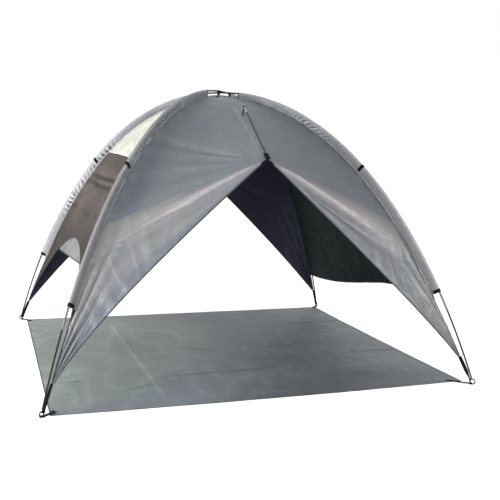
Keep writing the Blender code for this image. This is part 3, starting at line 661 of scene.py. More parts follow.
def ridgeHeight(out):
    # rounded over from the crown to the knee, then straight to the apex
    top, knee = tent["crownHeight"] - tent["crownDrop"], door["kneeOut"]
    curved = top - (top - door["kneeHeight"]) * (out / knee) ** door["ridgeRound"]
    share = (out - knee) / (door["apexOut"] - knee)
    straight = door["kneeHeight"] + (door["apexHeight"] - door["kneeHeight"]) * share
    return np.where(out < knee, curved, straight)


def between(a, b, share):
    # straight threads from the points of one line to those of another
    return a[:, None] + (b - a)[:, None] * share[:, None]


def hoodGrid(first, second, facing):
    # threads from each seam to the ridge
    start, rows = tent["crownReach"], door["rows"]
    out = np.linspace(start, door["apexOut"], rows)
    ridge = np.stack([0 * out, facing * out, ridgeHeight(out)], -1)
    share = np.linspace(0, 1, door["columns"] + 1)
    arcs = [np.linspace(arcAtReach(arm, start), arcAtHeight(arm, door["creaseHeight"]), rows)
            for arm in (first, second)]
    left, right = seam(first, arcs[0], 1), seam(second, arcs[1], -1)
    grid = np.concatenate([between(left, ridge, share), between(ridge, right, share[1:])], 1)
    return grid, arcs, np.concatenate([share, 1 - share[1:]]), ridge[-1]


def wingGrids(first, second, apex, tops):
    # threads from each seam to the hem, a curve pulled up from the line between apex and corner
    corners = [seam(arm, np.array(tent["cornerStart"]), side) for arm, side in ((first, 1), (second, -1))]
    span = unit(corners[1] - corners[0])
    t = np.linspace(0, 1, door["wingRows"] + 1)[:, None]
    share = np.linspace(0, 1, door["columns"] + 1)
    wings = []
    for arm, side, corner, top in zip((first, second), (1, -1), corners, tops):
        bow, pull = door["hemBows"][arm]
        end = corner + side * span * door["cornerWidth"]
        chord = unit(end - apex)
        bend = apex + (end - apex) * pull + 2 * bow * unit(np.array([0, 0, 1.0]) - chord[2] * chord)
        hem = (1 - t) ** 2 * apex + 2 * (1 - t) * t * bend + t**2 * end
        arcs = np.linspace(top, tent["cornerStart"], len(t))
        grid = between(seam(arm, arcs, side), hem, share)
        wings.append({"grid": grid, "arcs": arcs, "corner": corner, "chord": chord, "arm": arm})
    return wings


def sewnDoor(hood, hoodArcs, across, wings):
    # one mesh of the hood and its wings, and for each point its arc down the seam, its shares
    # across and along its grid, and 0 on the hood or the number of its wing
    columns, wingRows = door["columns"], door["wingRows"]
    index = numbered(*hood.shape[:2])
    grids, quads, used = [(hood, hoodArcs, across)], [gridQuads(index)], index.size
    for wing, edge, step in zip(wings, (index[-1, : columns + 1], index[-1, : columns - 1 : -1]), (1, -1)):
        fresh = used + numbered(wingRows, columns + 1)
        used += fresh.size
        wing["index"] = np.concatenate([edge[None], fresh])
        quads.append(gridQuads(wing["index"])[:, ::step])
        grids.append((wing["grid"], wing["arcs"], np.linspace(0, 1, columns + 1)))
    fields, points = [], []
    for k, (grid, arcs, share) in enumerate(grids):
        # a wing's first row is the hood's
        below = slice(1 if k else 0, None)
        along = np.linspace(0, 1, len(grid))
        field = np.broadcast_arrays(arcs[below, None], share[None], along[below, None], k)
        fields.append(np.reshape(field, (4, -1)))
        points.append(grid[below].reshape(-1, 3))
    points = np.concatenate(points)
    return points, faced(points, np.concatenate(quads)), np.concatenate(fields, 1)


def doorSag(points, down, share, along, onHood, seed):
    # sag between the seams, a rounded ridge, and slow swells
    held = np.sin(np.pi * np.clip(share, 0, 1))
    lift = -np.where(onHood, door["hoodSag"] * held * np.sin(np.pi * along) ** 0.7,
                     door["wingSag"] * held * (1 - along) * ease(along * 5))
    nearRidge = np.clip(1 - (1 - share) / door["ridgeSoftness"], 0, 1)
    lift -= np.where(onHood, door["ridgeFall"] * nearRidge**2 * ease(along * 4), 0)
    swell = softNoise(points[:, 0] * 3.2 + 9, down * 3.2, seed) - 0.5
    return lift + door["swell"] * ease(share * 7) * np.where(onHood, held, 1) * swell * 2


def seamFolds(points, down, share, along, onHood, seed):
    # short crinkles in patches, puckers along the seams, and narrow crests beside the ridge,
    # left where the hood is drawn up by its rod
    x, held = points[:, 0], np.sin(np.pi * np.clip(share, 0, 1))
    patchy = ease(softNoise(x * 4, down * 4, seed + 6) * 1.3 - 0.2)
    short = creases(x * 15 + 3 * softNoise(x * 6, down * 6, seed + 1), down * 7, seed + 2) ** 4
    fold = door["crinkle"] * ease(share * 7) * short * patchy * np.where(onHood, 0.15 * held, 1)
    gathers = creases(down / door["puckerPitch"] + share * 14, share * 5, seed + 3) ** 2 - 0.3
    uneven = 0.3 + 0.7 * softNoise(down * 6, share * 2, seed + 5)
    fold += door["pucker"] * np.exp(-share * 11) * ease(share * 60) * gathers * uneven
    for offset, width, rise in door["ridgeCrests"]:
        crest = onHood * rise * hill(x - offset * (0.3 + 0.7 * (1 - along)), width)
        fold += crest * ease((along - 0.3) * 6) * ease((0.97 - along) * 8)
    return fold


def uprightFolds(points, share, along, lively, seed):
    # short upright wrinkles in the middle of the wings
    x, z = points[:, 0], points[:, 2]
    lean = 1.6 * softNoise(x * 5, z * 5, seed + 12)
    upright = creases(x * 24 + z * 4 + lean, z * 6 + x * 3, seed + 13) ** 5
    middle = ease((share - 0.1) * 6) * ease((along - 0.12) * 6) * ease((1 - along) * 3)
    return door["upright"] * upright * middle * lively * ease(2 * softNoise(x * 7, z * 7, seed + 14) - 0.3)


def radiating(dist, angle, folds, width, wander, pitch, seed):
    # the drawn crests of a fan, and fine creases that wander between them
    fine = creases(angle / width + softNoise(dist * wander, angle * 0.2, seed), dist * pitch, seed + 1) ** 3
    return fanFolds(dist, angle, folds), fine


def apexFan(points, apex, wing, onHood, seed):
    # fine creases are fullest a little way from the apex, and fainter on the hood
    style = foldStyles[wing["arm"]]
    dist, angle = polar(points, apex, wing["chord"])
    crests, fine = radiating(dist, angle, style["apex"], 1.7, 7, 3.2, seed + 7)
    near = ease(dist / 0.12) * (1 - ease((dist - 0.3) / 1.0))
    return crests + style["long"] * fine * near * np.where(onHood, 0.2, 0.6)


def cornerFan(points, wing, onWing, seed):
    style = foldStyles[wing["arm"]]
    dist, angle = polar(points, wing["corner"], unit(wing["grid"][0, 0] - wing["corner"]))
    crests, fine = radiating(dist, angle, style["corner"], 2.3, 6, 2.5, seed + 9)
    near = ease(dist / 0.1) * (1 - ease((dist - 0.1) / 0.55)) * onWing
    return crests * onWing + 1.5 * style["long"] * fine * near


def doorValues(points, start, share, along, part, onHood, fold, wings, apex, seed):
    # painted light and shade: the hood darker and the wings lighter, lit and shaded patches on the hood,
    # shade in the folds' hollows and light on their crests, a warm painted reflection on the upper wings and
    # crests, and a cool painted reflection in the hood's shade and low on the left wing, with a random drift
    x, z = start[:, 0], start[:, 2]
    rightHalf = ease(0.5 + x / 0.04)
    leftHalf = 1 - rightHalf
    hoodTone, wingTone = (door[key]["left"] * (1 - rightHalf) + door[key]["right"] * rightHalf
                          for key in ("hoodTone", "wingTone"))
    lit = leftHalf * ease(share * 1.2) * ease(along * 1.5 - 0.4)
    shaded = leftHalf * hill(share - 0.14, 0.1) * ease(along * 2 - 0.5)
    lower = np.zeros(len(points))
    for k, wing in enumerate(wings):
        low = 1 - ease((polar(points, apex, wing["chord"])[1] - 3) / 7)
        lower = np.where(part == k + 1, low, lower)
    bright = (1 - lower) * (1 - ease((np.linalg.norm(points - apex, axis=1) - 0.15) / 0.45)) * ~onHood
    hoodTone = hoodTone * (0.88 + 0.31 * lit - 0.1 * shaded)
    wingTone = wingTone * (1 - 0.08 * lower + 0.16 * bright)
    past = np.where(onHood, (along - 1) * 9, along * 9 * (1 - 0.4 * share))
    mix = np.where(share < 0.75, ease(0.5 + 0.5 * past / (1.02 - share)), ~onHood)
    tone = hoodTone * (1 - mix) + wingTone * mix
    # painted shade and light on the folds, and painted light on the hood beside the seams, against the shade
    # there
    tone = tone * (1 + door["foldShade"] * fold) * (1 + 0.3 * np.exp(-share / 0.02) * onHood)
    crest = door["crestReflection"] * np.clip(fold, 0, 0.008)
    warm_reflection = np.where(onHood, 0, door["wingReflection"] * (1 - lower)) + crest * ~onHood
    cool_reflection = np.where(onHood, 0.6 * shaded, 0.5 * lower * leftHalf)
    cool_reflection = cool_reflection + 0.3 * softNoise(x * 4, z * 4, seed + 15) - door["crestReflection"] * np.clip(fold, 0, 1)
    return {"tone": tone, "warm_reflection": np.clip(warm_reflection, 0, 1), "cool_reflection": np.clip(cool_reflection, 0, 1)}


def doorPanel(name, first, second, facing, seed):
    hood, arcs, across, apex = hoodGrid(first, second, facing)
    wings = wingGrids(first, second, apex, [run[-1] for run in arcs])
    start, quads, (down, share, along, part) = sewnDoor(hood, arcs[0], across, wings)
    onHood = part == 0
    lift = doorSag(start, down, share, along, onHood, seed)
    fold = seamFolds(start, down, share, along, onHood, seed)
    lively = np.select([part == 1, part == 2], [foldStyles[wing["arm"]]["upright"] for wing in wings], 1.0)
    fold += uprightFolds(start, share, along, ~onHood * lively, seed)
    for k, wing in enumerate(wings):
        onWing = part == k + 1
        mine = onWing | onHood & ((start[:, 0] < 0) == wing["arm"].endswith("left"))
        fold[mine] += apexFan(start, apex, wing, onHood, seed)[mine]
        fold += cornerFan(start, wing, onWing, seed) * ease(share * 7)
    # the hems are drawn straight
    calm = np.where(onHood, 1, ease((1 - share) * door["hemCalm"]))
    fold *= 0.15 + 0.85 * calm
    lift = np.where(onHood, lift, lift * calm) + fold
    points = start + vertexNormals(start, quads) * lift[:, None]
    values = doorValues(points, start, share, along, part, onHood, fold, wings, apex, seed)
    uv = np.stack([start[:, 0], down], -1)
    obj = clothPiece(name, points, quads, uv, values, "silverCloth", "innerCloth")
    placed(obj, name.split("_")[0] + "_panel")
    for wing in wings:
        hem, inner = points[wing["index"][:, -1]], points[wing["index"][:, -4]]
        hemName, guardName = name + "_hem_" + wing["arm"], name + "_apex_guard_" + wing["arm"]
        tape(hemName, hem[1:], inner[1:], door["hemTape"])
        tape(guardName, hem[:3], inner[:3], door["guardTape"], "webbing", thickness=0.0032)


doorPanel("front_canopy", "near_left", "near_right", -1, 11)
doorPanel("rear_canopy", "far_right", "far_left", 1, 29)
print("door panels made")


# Side walls, whose threads run straight from seam to seam

wall = {
    "crossSeam": 1.11605, "crossFall": 0.022, "crossGap": 0.0005,
    "arch": ((0, 0.1122), (0.185, 0.5914), (1.05, 0.52), (1, 0.1496)),
    "rightHem": ((0, 0.1835), (0.1, 0.4215), (0.52, 0.1768), (1, 0.1734)),
    "liningTop": 0.70005, "liningHem": (0.52206, 0.60193), "liningDepth": 0.00354, "sag": 0.012,
    "corners": [(12.0, 2.0, 0.008, 0.12, 0.8), (19.0, 2.0, -0.005, 0.12, 0.6), (28.0, 3.0, 0.008, 0.12, 0.9),
                (40.0, 3.0, -0.004, 0.1, 0.5), (52.0, 4.0, 0.006, 0.1, 0.6)],
    # each roll: its height, how far it stands out, and how dark the painted shadow under it is
    "rolls": ((0.988, 0.009, 0.75), (0.948, 0.007, 0.65)),
}


def hemCurve(pulls, columns=97):
    # a cubic from one seam to the other: share across the wall, and height
    share, height = cubic(pulls, columns).T
    share = np.maximum.accumulate(np.clip(share, 0, 1))
    share[-1] = 1
    return np.minimum(share, 1 - 1e-4 * (columns - 1 - np.arange(columns))), height * tent["crownHeight"]


def wallPiece(name, node, arms, top, hemShare, hemArcs, rows, looks, held, seed, hem=None,
              depth=0.0):
    # threads from a top line down to the hem's curve, and the cloth's folds on them
    down = np.linspace(0, 1, rows + 1)[:, None]
    arcs = top + (hemArcs[None] - top) * down
    share = np.broadcast_to(hemShare[None], arcs.shape)
    a, b = (seam(arm, arcs, side, depth) for arm, side in zip(arms, (1, -1)))
    start = (a + (b - a) * share[..., None]).reshape(-1, 3)
    index = numbered(*arcs.shape)
    quads = faced(start, gridQuads(index))
    arcs, share = arcs.ravel(), share.ravel()
    lift, tone = held(start, arcs, share, np.repeat(down, len(hemShare)), seed)
    points = start + vertexNormals(start, quads) * lift[:, None]
    uv = np.stack([points[:, 1], arcs], -1)
    obj = placed(clothPiece(name, points, quads, uv, {"tone": tone}, *looks), node)
    if hem:
        hemName, width, row = hem
        tape(hemName, points[index[-1]], points[index[row]], width)


# creases on the upper left wall, with painted shade in their hollows and painted light on their crests
def highlitFolds(points, arcs, share, down, seed):
    across = np.sin(np.pi * share)
    lift = -0.006 * across * np.sin(np.pi * down)
    fold = across * (creases(points[:, 1] * 9 + points[:, 2] * 12, arcs * 6, seed) ** 2 - 0.3)
    fold += 0.5 * across * creases(points[:, 1] * 24, points[:, 2] * 30, seed + 1) ** 3
    return lift + 0.006 * fold, 0.87 + 0.22 * fold


def shadedWallFolds(points, arcs, share, down, seed):
    # two rolls of cloth under the cross seam, each with a painted shadow under it and a painted highlight on
    # its top, and a crumpled sheet below them with painted shade and light on its creases
    across = np.sin(np.pi * share) ** 0.5
    y, z = points[:, 1], points[:, 2]
    top, low = wall["crossSeam"], wall["liningTop"]
    lift = -wall["sag"] * across * ease((top - z) / 0.1) * ease((z - low - 0.02) / 0.15)
    bend = z + 0.008 * np.sin(share * np.pi)
    fold = np.zeros(len(points))
    shade = np.ones(len(points))
    for height, deep, dark in wall["rolls"]:
        fold += deep * across * hill(bend - height - 0.017, 0.01)
        shade *= 1 - dark * hill(bend - height, 0.0125) * across
        shade *= 1 + 0.5 * dark * hill(bend - height - 0.021, 0.008) * across
    small = creases(y * 2 + z * 3, z * 10, seed) ** 2 - 0.3 + 0.25 * creases(y * 4, z * 15, seed + 1) ** 3
    lift += fold + 0.0045 * across * small * ease((z - 0.3) / 0.3)
    # painted shade: dark above the arch, lighter to the rolls, and dark again under the seam
    level = 0.26 + 0.37 * ease((z - 0.6) / 0.3)
    level *= 1 - 0.26 * ease((z - 1.01) / 0.04)
    return lift, level * shade * (1 + 0.22 * small * across)


# the strip's creases, and a tone of about half, with painted shade and light along the creases
def liningFolds(points, arcs, share, down, seed):
    across = np.sin(np.pi * share) ** 0.5
    small = creases(points[:, 1] * 14, arcs * 14, seed) ** 2 - 0.3
    return 0.002 * across * small - 0.002 * across * down, 0.5 + 0.16 * small


def rightFolds(points, arcs, share, down, seed):
    across = np.sin(np.pi * share) ** 0.5
    y, z = points[:, 1], points[:, 2]
    lift = -wall["sag"] * across * ease(down * 3) * (1 - 0.6 * ease((down - 0.6) / 0.4))
    lift += 0.004 * across * (softNoise(y * 3, z * 3, seed) - 0.5)
    fold = 0.004 * across * (creases(y * 8 + 2 * softNoise(y * 3, z * 3, seed + 4), z * 6, seed + 1) ** 3)
    # creases that fan up from the hem's two corners
    for corner in points[down == 1][[0, -1]]:
        dist, angle = polar(points, corner, unit(np.array([-0.35, -0.35 * np.sign(corner[1]), 0.87])))
        fold += 0.6 * across * fanFolds(dist, angle, wall["corners"]) * ease((1 - down) * 5)
    fold += 0.003 * across * ease(down * 2 - 1) * np.sin(y * 17 + 1.2) * ease((1 - down) * 8)
    # the tone paints shade in the folds' hollows and light on their crests
    return lift + fold, 0.8 + 16 * fold


def crossArcs(share):
    # the cross seam falls a little towards the front
    return arcAtHeight("far_left", wall["crossSeam"] - wall["crossFall"] * share)


even = np.linspace(0, 1, 61)
left, right = ("far_left", "near_left"), ("near_right", "far_right")
topLeft, topRight = (arcAtReach(side[0], tent["crownReach"]) for side in (left, right))
# the left wall's upper part is painted as a highlight, and its lower part as shade with a painted brown
# reflection
wallPiece("left_upper_wall", "left_wall_upper", left, topLeft, even,
          crossArcs(even) + wall["crossGap"], 60, ("highlitCloth", "liningCloth"), highlitFolds, 41)
share, heights = hemCurve(wall["arch"])
wallPiece("left_window_wall", "left_wall_lower", left, crossArcs(share) - wall["crossGap"],
          share, arcAtHeight(left[0], heights), 170, ("shadedWallCloth", "liningCloth"), shadedWallFolds, 43,
          ("left_arch_hem", 0.007, -4))
heights = wall["liningHem"][0] + (wall["liningHem"][1] - wall["liningHem"][0]) * even
wallPiece("left_wall_strip", "left_wall_lining", left, arcAtHeight(left[0], wall["liningTop"]),
          even, arcAtHeight(left[0], heights), 16, ("liningCloth", "innerCloth"), liningFolds, 47,
          ("left_strip_hem", 0.008, -3), wall["liningDepth"])
share, heights = hemCurve(wall["rightHem"])
wallPiece("right_side_wall", "right_wall", right, topRight, share,
          arcAtHeight(right[0], heights), 120, ("silverCloth", "greenCloth"), rightFolds, 53,
          ("right_wall_hem", 0.008, -4))
print("side walls made")


# Sleeves: a strip of cloth folded over the pole and sewn in at the seam

# each arm's tone along the sleeve is painted light and shade; lean paints the side that leans up paler; shade
# paints light and shade on the gathers, as bright ridges where it is below 0; the paler line along the seam
# side is partly the seam's pale edge and partly painted light over the shade in the gap
sleeve = {
    "radius": 0.0068, "tailHalf": 0.0013, "tailFree": 0.0015, "flare": 0.0026,
    "steps": 420, "flat": 14, "head": 14, "pipingLight": 0.36, "toneAt": (0.475, 1.1, 1.5, 1.8, 2.09),
    "near_left": {
        "gather": 0.0034, "pitch": 0.023, "slant": 0.7, "shade": 0.8, "belly": (0.5, 0.4), "lean": 0.22,
        "tone": (0.66, 0.7, 0.77, 0.7, 0.6), "gathered": (1.15, 1.95), "sharpness": 2.5, "jitter": 1.6,
        "cover": 0.35, "restsOn": "pole_a_section_3"},
    "near_right": {
        "gather": 0.0045, "pitch": 0.03, "slant": 0.9, "shade": 1.1, "belly": (0.3, 0.35), "lean": 0.22,
        "tone": (0.7, 0.72, 0.76, 0.74, 0.66), "gathered": (1.5, 1.72), "sharpness": 3.5, "jitter": 1.4,
        "cover": 0.1, "restsOn": "pole_b_section_3"},
    "far_right": {
        "gather": 0.004, "pitch": 0.026, "slant": 0.8, "shade": 0.6, "belly": (0.5, 0.4), "lean": 0,
        "tone": (0.7, 0.7, 0.7, 0.7, 0.7), "gathered": (1.0, 1.6), "sharpness": 2, "jitter": 1.0,
        "cover": 0, "restsOn": "pole_a_section_5"},
    "far_left": {
        "gather": -0.0075, "pitch": 0.034, "slant": -0.5, "shade": -2.0, "belly": (0.3, 0.34), "lean": 0.34,
        "tone": (0.95, 1.05, 0.62, 0.55, 0.58), "gathered": (0.82, 1.42), "sharpness": 2.2, "jitter": 1.0,
        "cover": 0.6, "restsOn": "pole_b_section_5"},
}
bandPlaces = {"cuff": tent["sleeveStart"] + 0.009, "band": 1.235}


def sleeveOutline(arm, arcs, offset=0.0):
    # a round over the pole with straight sides drawn in to the seam, as out and side offsets,
    # and each point's share of the way from seam to pole
    radius, half = sleeve["radius"] + offset, sleeve["tailHalf"] + offset
    length = seamDrop(curves[arm], arcs) - sleeve["tailFree"]
    touch = np.arctan2(half, -length) - np.arccos(radius / np.hypot(length, half))
    rise = np.linspace(0, 1, sleeve["flat"], endpoint=False)
    turn = np.linspace(1, -1, sleeve["head"])
    side = half + (radius * np.sin(touch) - half)[:, None] * rise
    out = -length[:, None] + (radius * np.cos(touch) + length)[:, None] * rise
    side = np.concatenate([side[:, :1] + sleeve["flare"], side[:, :1] + sleeve["flare"] * 0.4, side], 1)
    out = np.concatenate([out[:, :1] - 0.0035, out[:, :1] - 0.0012, out], 1)
    rise = np.concatenate([[0, 0], rise])
    headOut, headSide = radius * np.cos(touch[:, None] * turn), radius * np.sin(touch[:, None] * turn)
    outs = np.concatenate([out, headOut, out[:, ::-1]], 1)
    sides = np.concatenate([side, headSide, -side[:, ::-1]], 1)
    return outs, sides, np.concatenate([rise, np.ones(sleeve["head"]), rise[::-1]])


def sleeveFolds(style, arcs, rise, sign, seed):
    # gathers that wander along the sleeve, fullest in patches and none under the bands
    free = np.ones(arcs.shape)
    for place in bandPlaces.values():
        free *= 1 - np.exp(-(((arcs - place) / 0.016) ** 4))
    centre, width = style["belly"]
    belly = hill(rise - centre, width) * ease(rise * 12)
    warp = arcs / style["pitch"] + rise * style["slant"]
    warp = warp + style["jitter"] * softNoise(arcs * 12, rise + sign * 7, seed)
    height = 0.3 - (0.5 + 0.5 * np.cos(2 * np.pi * warp)) ** style["sharpness"]
    height = height + 0.4 * (creases(arcs * 34, rise * 2 + sign * 5, seed + 1) ** 2 - 0.3)
    low, high = style["gathered"]
    span = ease((arcs - low) / 0.15 + 0.5) * ease((high - arcs) / 0.15 + 0.5)
    covered = ease(1.8 * softNoise(arcs * 9, sign * 3 + 20, seed + 2) - 0.2 + style["cover"])
    return height * belly * (0.07 + 0.93 * span * covered) * free


def sleeveValues(style, arcs, rise, sign, fold, seed):
    # painted light and shade: lighter or darker along the sleeve, paler on the side that leans up, shade and
    # light on the gathers, a pale seam line, and painted glints near the crown, where the cloth is drawn
    # along the pole; and a warm painted reflection low down and on the crests
    tone = np.interp(arcs, sleeve["toneAt"], style["tone"]) * (1 + style["shade"] * fold)
    tone = tone * (1 + style["lean"] * (2 * rise - 1) + sleeve["pipingLight"] * hill(rise, 0.09))
    glint = creases(arcs * 5, rise * 5 + sign * 3, seed + 8) ** 5 * ease((arcs - 1.7) / 0.2)
    tone = tone + 0.45 * glint * ease(rise * 5) * ease((1 - rise) * 6)
    tone = tone * (0.95 + 0.1 * softNoise(arcs * 7, arcs * 0, seed + 5))
    warm_reflection = 0.4 - 0.3 * ease((arcs - 1.2) / 0.5) + 0.8 * fold
    return {"tone": tone.ravel(), "warm_reflection": np.clip(warm_reflection, 0, 1).ravel()}


def poleSleeve(arm, seed):
    arcs = np.linspace(tent["sleeveStart"], curves[arm]["length"] / 2 - tent["crownBare"], sleeve["steps"])
    style = sleeve[arm]
    outs, sides, rise = sleeveOutline(arm, arcs)
    run, rise, sign = arcs[:, None], rise[None], np.sign(sides)
    fold = sleeveFolds(style, run, rise, sign, seed)
    sides = sides + sign * style["gather"] * fold
    outs = outs + 0.0006 * (softNoise(run * 40, rise * 3, seed + 3) - 0.5) * ease(rise * 3)
    grid = onPole(arm, np.broadcast_to(run, outs.shape), outs, sides)
    points = grid.reshape(-1, 3)
    quads = faced(points, gridQuads(numbered(*outs.shape)), onPole(arm, arcs).repeat(outs.shape[1], 0))
    values = sleeveValues(style, run, rise, sign, fold, seed)
    uv = np.stack([np.repeat(arcs, outs.shape[1]), outs.ravel() + sides.ravel()], -1)
    obj = clothPiece("canopy_sleeve_" + arm, points, quads, uv, values, "sleeveCloth", "innerCloth", 0.0007)
    placed(obj, "sleeve_" + arm)
    mouth = tape("sleeve_mouth_upper_" + arm, grid[-1], grid[-5], 0.008, thickness=0.0022)
    return [(grid[:, k], sign[0, k] * np.broadcast_to(sideways(arm), grid[:, k].shape))
            for k in (4, outs.shape[1] - 5)]


def seamBinding(arm):
    # tape folded round the raw edges where panel and wall meet: flat inside the tent, and
    # thicker below the sleeve, where it closes the free edge down to the corner
    arcs = np.linspace(tent["cornerStart"] + 0.004, arcAtReach(arm, tent["crownReach"]), 260)
    bare = 1 - ease((arcs - tent["sleeveStart"] + 0.01) / 0.01)
    outline = webOutline(1.0, 1.0)
    size = np.stack([0.006 + 0.004 * bare, 0.001 + 0.0046 * bare], -1)
    rings = carried(seam(arm, arcs, 0, 0.0036 - 0.0034 * bare), sideways(arm), outline[None] * size[:, None])
    uv = gridUv(arcs, outline[:, 0] * 0.009)
    obj = ringMesh("seam_binding_" + arm, rings, [cloths["bindingTape"]], uv, values={"tone": 1})
    placed(obj)


stitches("seam_stitching", [row for k, arm in enumerate(arms) for row in poleSleeve(arm, 60 + 10 * k)])
for arm in arms:
    seamBinding(arm)
print("sleeves made")


# Webbing

webs = {
    "thickness": 0.0014, "bandHeight": 0.018, "bandReach": 0.03, "bandLift": 0.0014, "tabWidth": 0.02,
    "strapWidth": {"near_left": 0.016, "near_right": 0.018, "far_right": 0.014, "far_left": 0.026},
    "twist": {"near_left": 0, "near_right": 60, "far_right": 0, "far_left": 0},
    "tail": (0.007, 0.034), "tailWidth": 0.011, "tailThickness": 0.0052,
}
matCorners = {
    "near_left": (-1.015, -1.04), "near_right": (1.03, -0.985),
    "far_right": (1.03, 1.03), "far_left": (-1.015, 1.03),
}


def strap(name, path, across, width, thickness, node=None, closed=False):
    outline = webOutline(width, thickness)
    rings = carried(path, across, outline, closed)
    uv = gridUv(pathLength(path), outline[:, 0])
    placed(ringMesh(name, rings, [webbing], uv, closed), node)


def bandOver(name, arm, arc, node):
    # webbing wrapped over the sleeve, its legs run back along it
    reach = webs["bandReach"]
    outs, sides, _ = sleeveOutline(arm, np.array([arc]), webs["bandLift"])
    keep = outs[0] > -reach
    outs, sides = np.concatenate([[-reach], outs[0][keep], [-reach]]), sides[0][keep]
    first = np.interp(-reach, outs[1:3], sides[:2])
    sides = np.concatenate([[first], sides, [-first]])
    path = resampled(onPole(arm, np.full(len(outs), arc), outs, sides), 0.0025)
    forward, _ = poleFrame(arm, np.array([arc]))
    strap(name, path, forward, webs["bandHeight"], webs["thickness"], node)


def hookedStrap(name, start, hook, ringCentre, width, node, arm, twist=0):
    # a strap run to the ring, round its wire and back, the two layers lying together
    direction, side = unit(hook - start), sideways(arm)
    up = unit(np.cross(direction, side))
    wire = tent["ringWire"] / 2 + webs["thickness"] / 2
    near = (ringCentre - start) @ direction
    square = (ringCentre - start) @ (ringCentre - start) - near**2
    cross = near - math.sqrt(max(ringReach**2 - square, 0))
    turn = np.linspace(-0.75, 0.75, 13) * np.pi
    loop = start + direction * cross + np.outer(np.cos(turn), direction * wire)
    loop += np.outer(np.sin(turn), up * wire)
    half = webs["thickness"] * 0.52
    back = np.linspace(cross - 2.4 * wire, min(0.012, cross * 0.3), 12)
    there = start + np.outer(back[::-1], direction) - up * half
    again = start + np.outer(back, direction) + up * half
    path = resampled(rounded(np.concatenate([(start - up * half)[None], there, loop, again]), 2), 0.002)
    # the strap turns on its way up from the ring
    along = (path - start) @ direction
    turn = math.radians(twist) * ease((cross - 3 * wire - along) / 0.05)[:, None]
    out = ((path - start) @ up)[:, None]
    path = start + np.outer(along, direction) + out * (up * np.cos(turn) - side * np.sin(turn))
    strap(name, path, side * np.cos(turn) + up * np.sin(turn), width, webs["thickness"], node)


def cornerWebbing(arm):
    # cuff and band on the sleeve, the ties of canopy and mat to the ring, and the cuff's loose
    # end, sewn to the canopy's free edge under it
    bandOver("cuff_" + arm, arm, bandPlaces["cuff"], "sleeve_cuff_" + arm)
    bandOver("loop_band_" + arm, arm, bandPlaces["band"], "guy_band_" + arm)
    outward = np.array([*bearing(arm), 0])
    ringCentre = onPole(arm, np.array(0.0))
    corner = seam(arm, np.array(tent["cornerStart"]), 0)
    hook = ringCentre - outward * ringReach / 2 + np.array([0, 0, -ringReach / 4])
    width, twist = webs["strapWidth"][arm], webs["twist"][arm]
    hookedStrap("corner_tie_" + arm, corner, hook, ringCentre, width, "corner_strap_" + arm, arm, twist)
    matReach = min(np.abs(matCorners[arm])) * math.sqrt(2)
    start = outward * (matReach - 0.04) + np.array([0, 0, 0.0035])
    hook = outward * (ringCentre @ outward) + np.array([0, 0, 0.0055])
    hookedStrap("mat_tie_" + arm, start, hook, ringCentre, webs["tabWidth"], "mat_tab_" + arm, arm)
    high, low = webs["tail"]
    arcs = np.linspace(bandPlaces["cuff"] - high, bandPlaces["cuff"] - low, 8)
    out = poleFrame(arm, arcs)[1]
    strap("cuff_tail_" + arm, seam(arm, arcs, 0, -0.001), out, webs["tailWidth"], webs["tailThickness"])


for arm in arms:
    cornerWebbing(arm)
print("webbing made")


# Crown: a sewn patch over the meeting of the panels, and the loop that ties the two poles

crownPart = {"patchSide": 0.08, "patchBase": 1.4453, "patchSteps": 33, "tieWidth": 0.01}


def crownPatch():
    # a square on its corner, crowned a little, with a stitched border
    side, n = crownPart["patchSide"], crownPart["patchSteps"]
    u, v = np.meshgrid(np.linspace(-1, 1, n), np.linspace(-1, 1, n))
    turn = math.pi / 4
    x = (u * math.cos(turn) - v * math.sin(turn)) * side / 2
    y = (u * math.sin(turn) + v * math.cos(turn)) * side / 2
    border = np.maximum(np.abs(u), np.abs(v))
    z = crownPart["patchBase"] + 0.0006 + 0.0012 * (1 - border**4) - 0.0006 * hill(border - 0.86, 0.04)
    points = np.stack([x, y, z - 0.0012 * border**2], -1).reshape(-1, 3)
    quads = faced(points, gridQuads(numbered(n, n)))
    uv = np.stack([u.ravel(), v.ravel()], -1) * side / 2
    obj = clothPiece("crown_cloth", points, quads, uv, {"tone": 0.9}, "sleeveCloth", "innerCloth")
    placed(obj, "crown_patch")


def crownTie():
    reach = crownPart["tieWidth"] / 2 + tent["poleWidth"] / math.sqrt(2) + 0.0005 + webs["thickness"] / 2
    low = crownPart["patchBase"] + 0.0025
    top = tent["crownHeight"] + tent["poleWidth"] / 2 + 0.0005 + webs["thickness"] / 2
    half = [(0.7, low), (1, low + 0.012), (1, top - 0.004), (0.6, top)]
    corners = [(0, -reach * 0.7, low)] + [(0, reach * share, z) for share, z in half]
    corners += [(0, -reach * share, z) for share, z in half[:0:-1]]
    path = resampled(rounded(np.array(corners), 3, True), 0.002, True)
    across = np.array([1.0, 0, 0])
    strap("crown_loop", path, across, crownPart["tieWidth"], webs["thickness"], "crown_tie", True)


crownPatch()
crownTie()
print("crown made")


# Poles: glass-fibre tubes with a steel ferrule on the far end of each but the last

pole = {
    "sections": 7, "endSection": 0.425, "ferruleWidth": 0.011, "ferruleLength": 0.11,
    "gap": 0.0003, "show": 0.003, "bore": 0.004, "sides": 20, "edge": 0.0004,
}


def crimped(places, radius, half, *slot):
    # three rings to a crimp: a shallow groove round a metal end
    return [(place + step * half, radius - (0 if step else pole["edge"]), *slot)
            for place in places for step in (-1, 0, 1)]


def tube(low, high, radius):
    return [(arc, radius, 0) for arc in np.linspace(low, high, max(int((high - low) / 0.012), 3))]


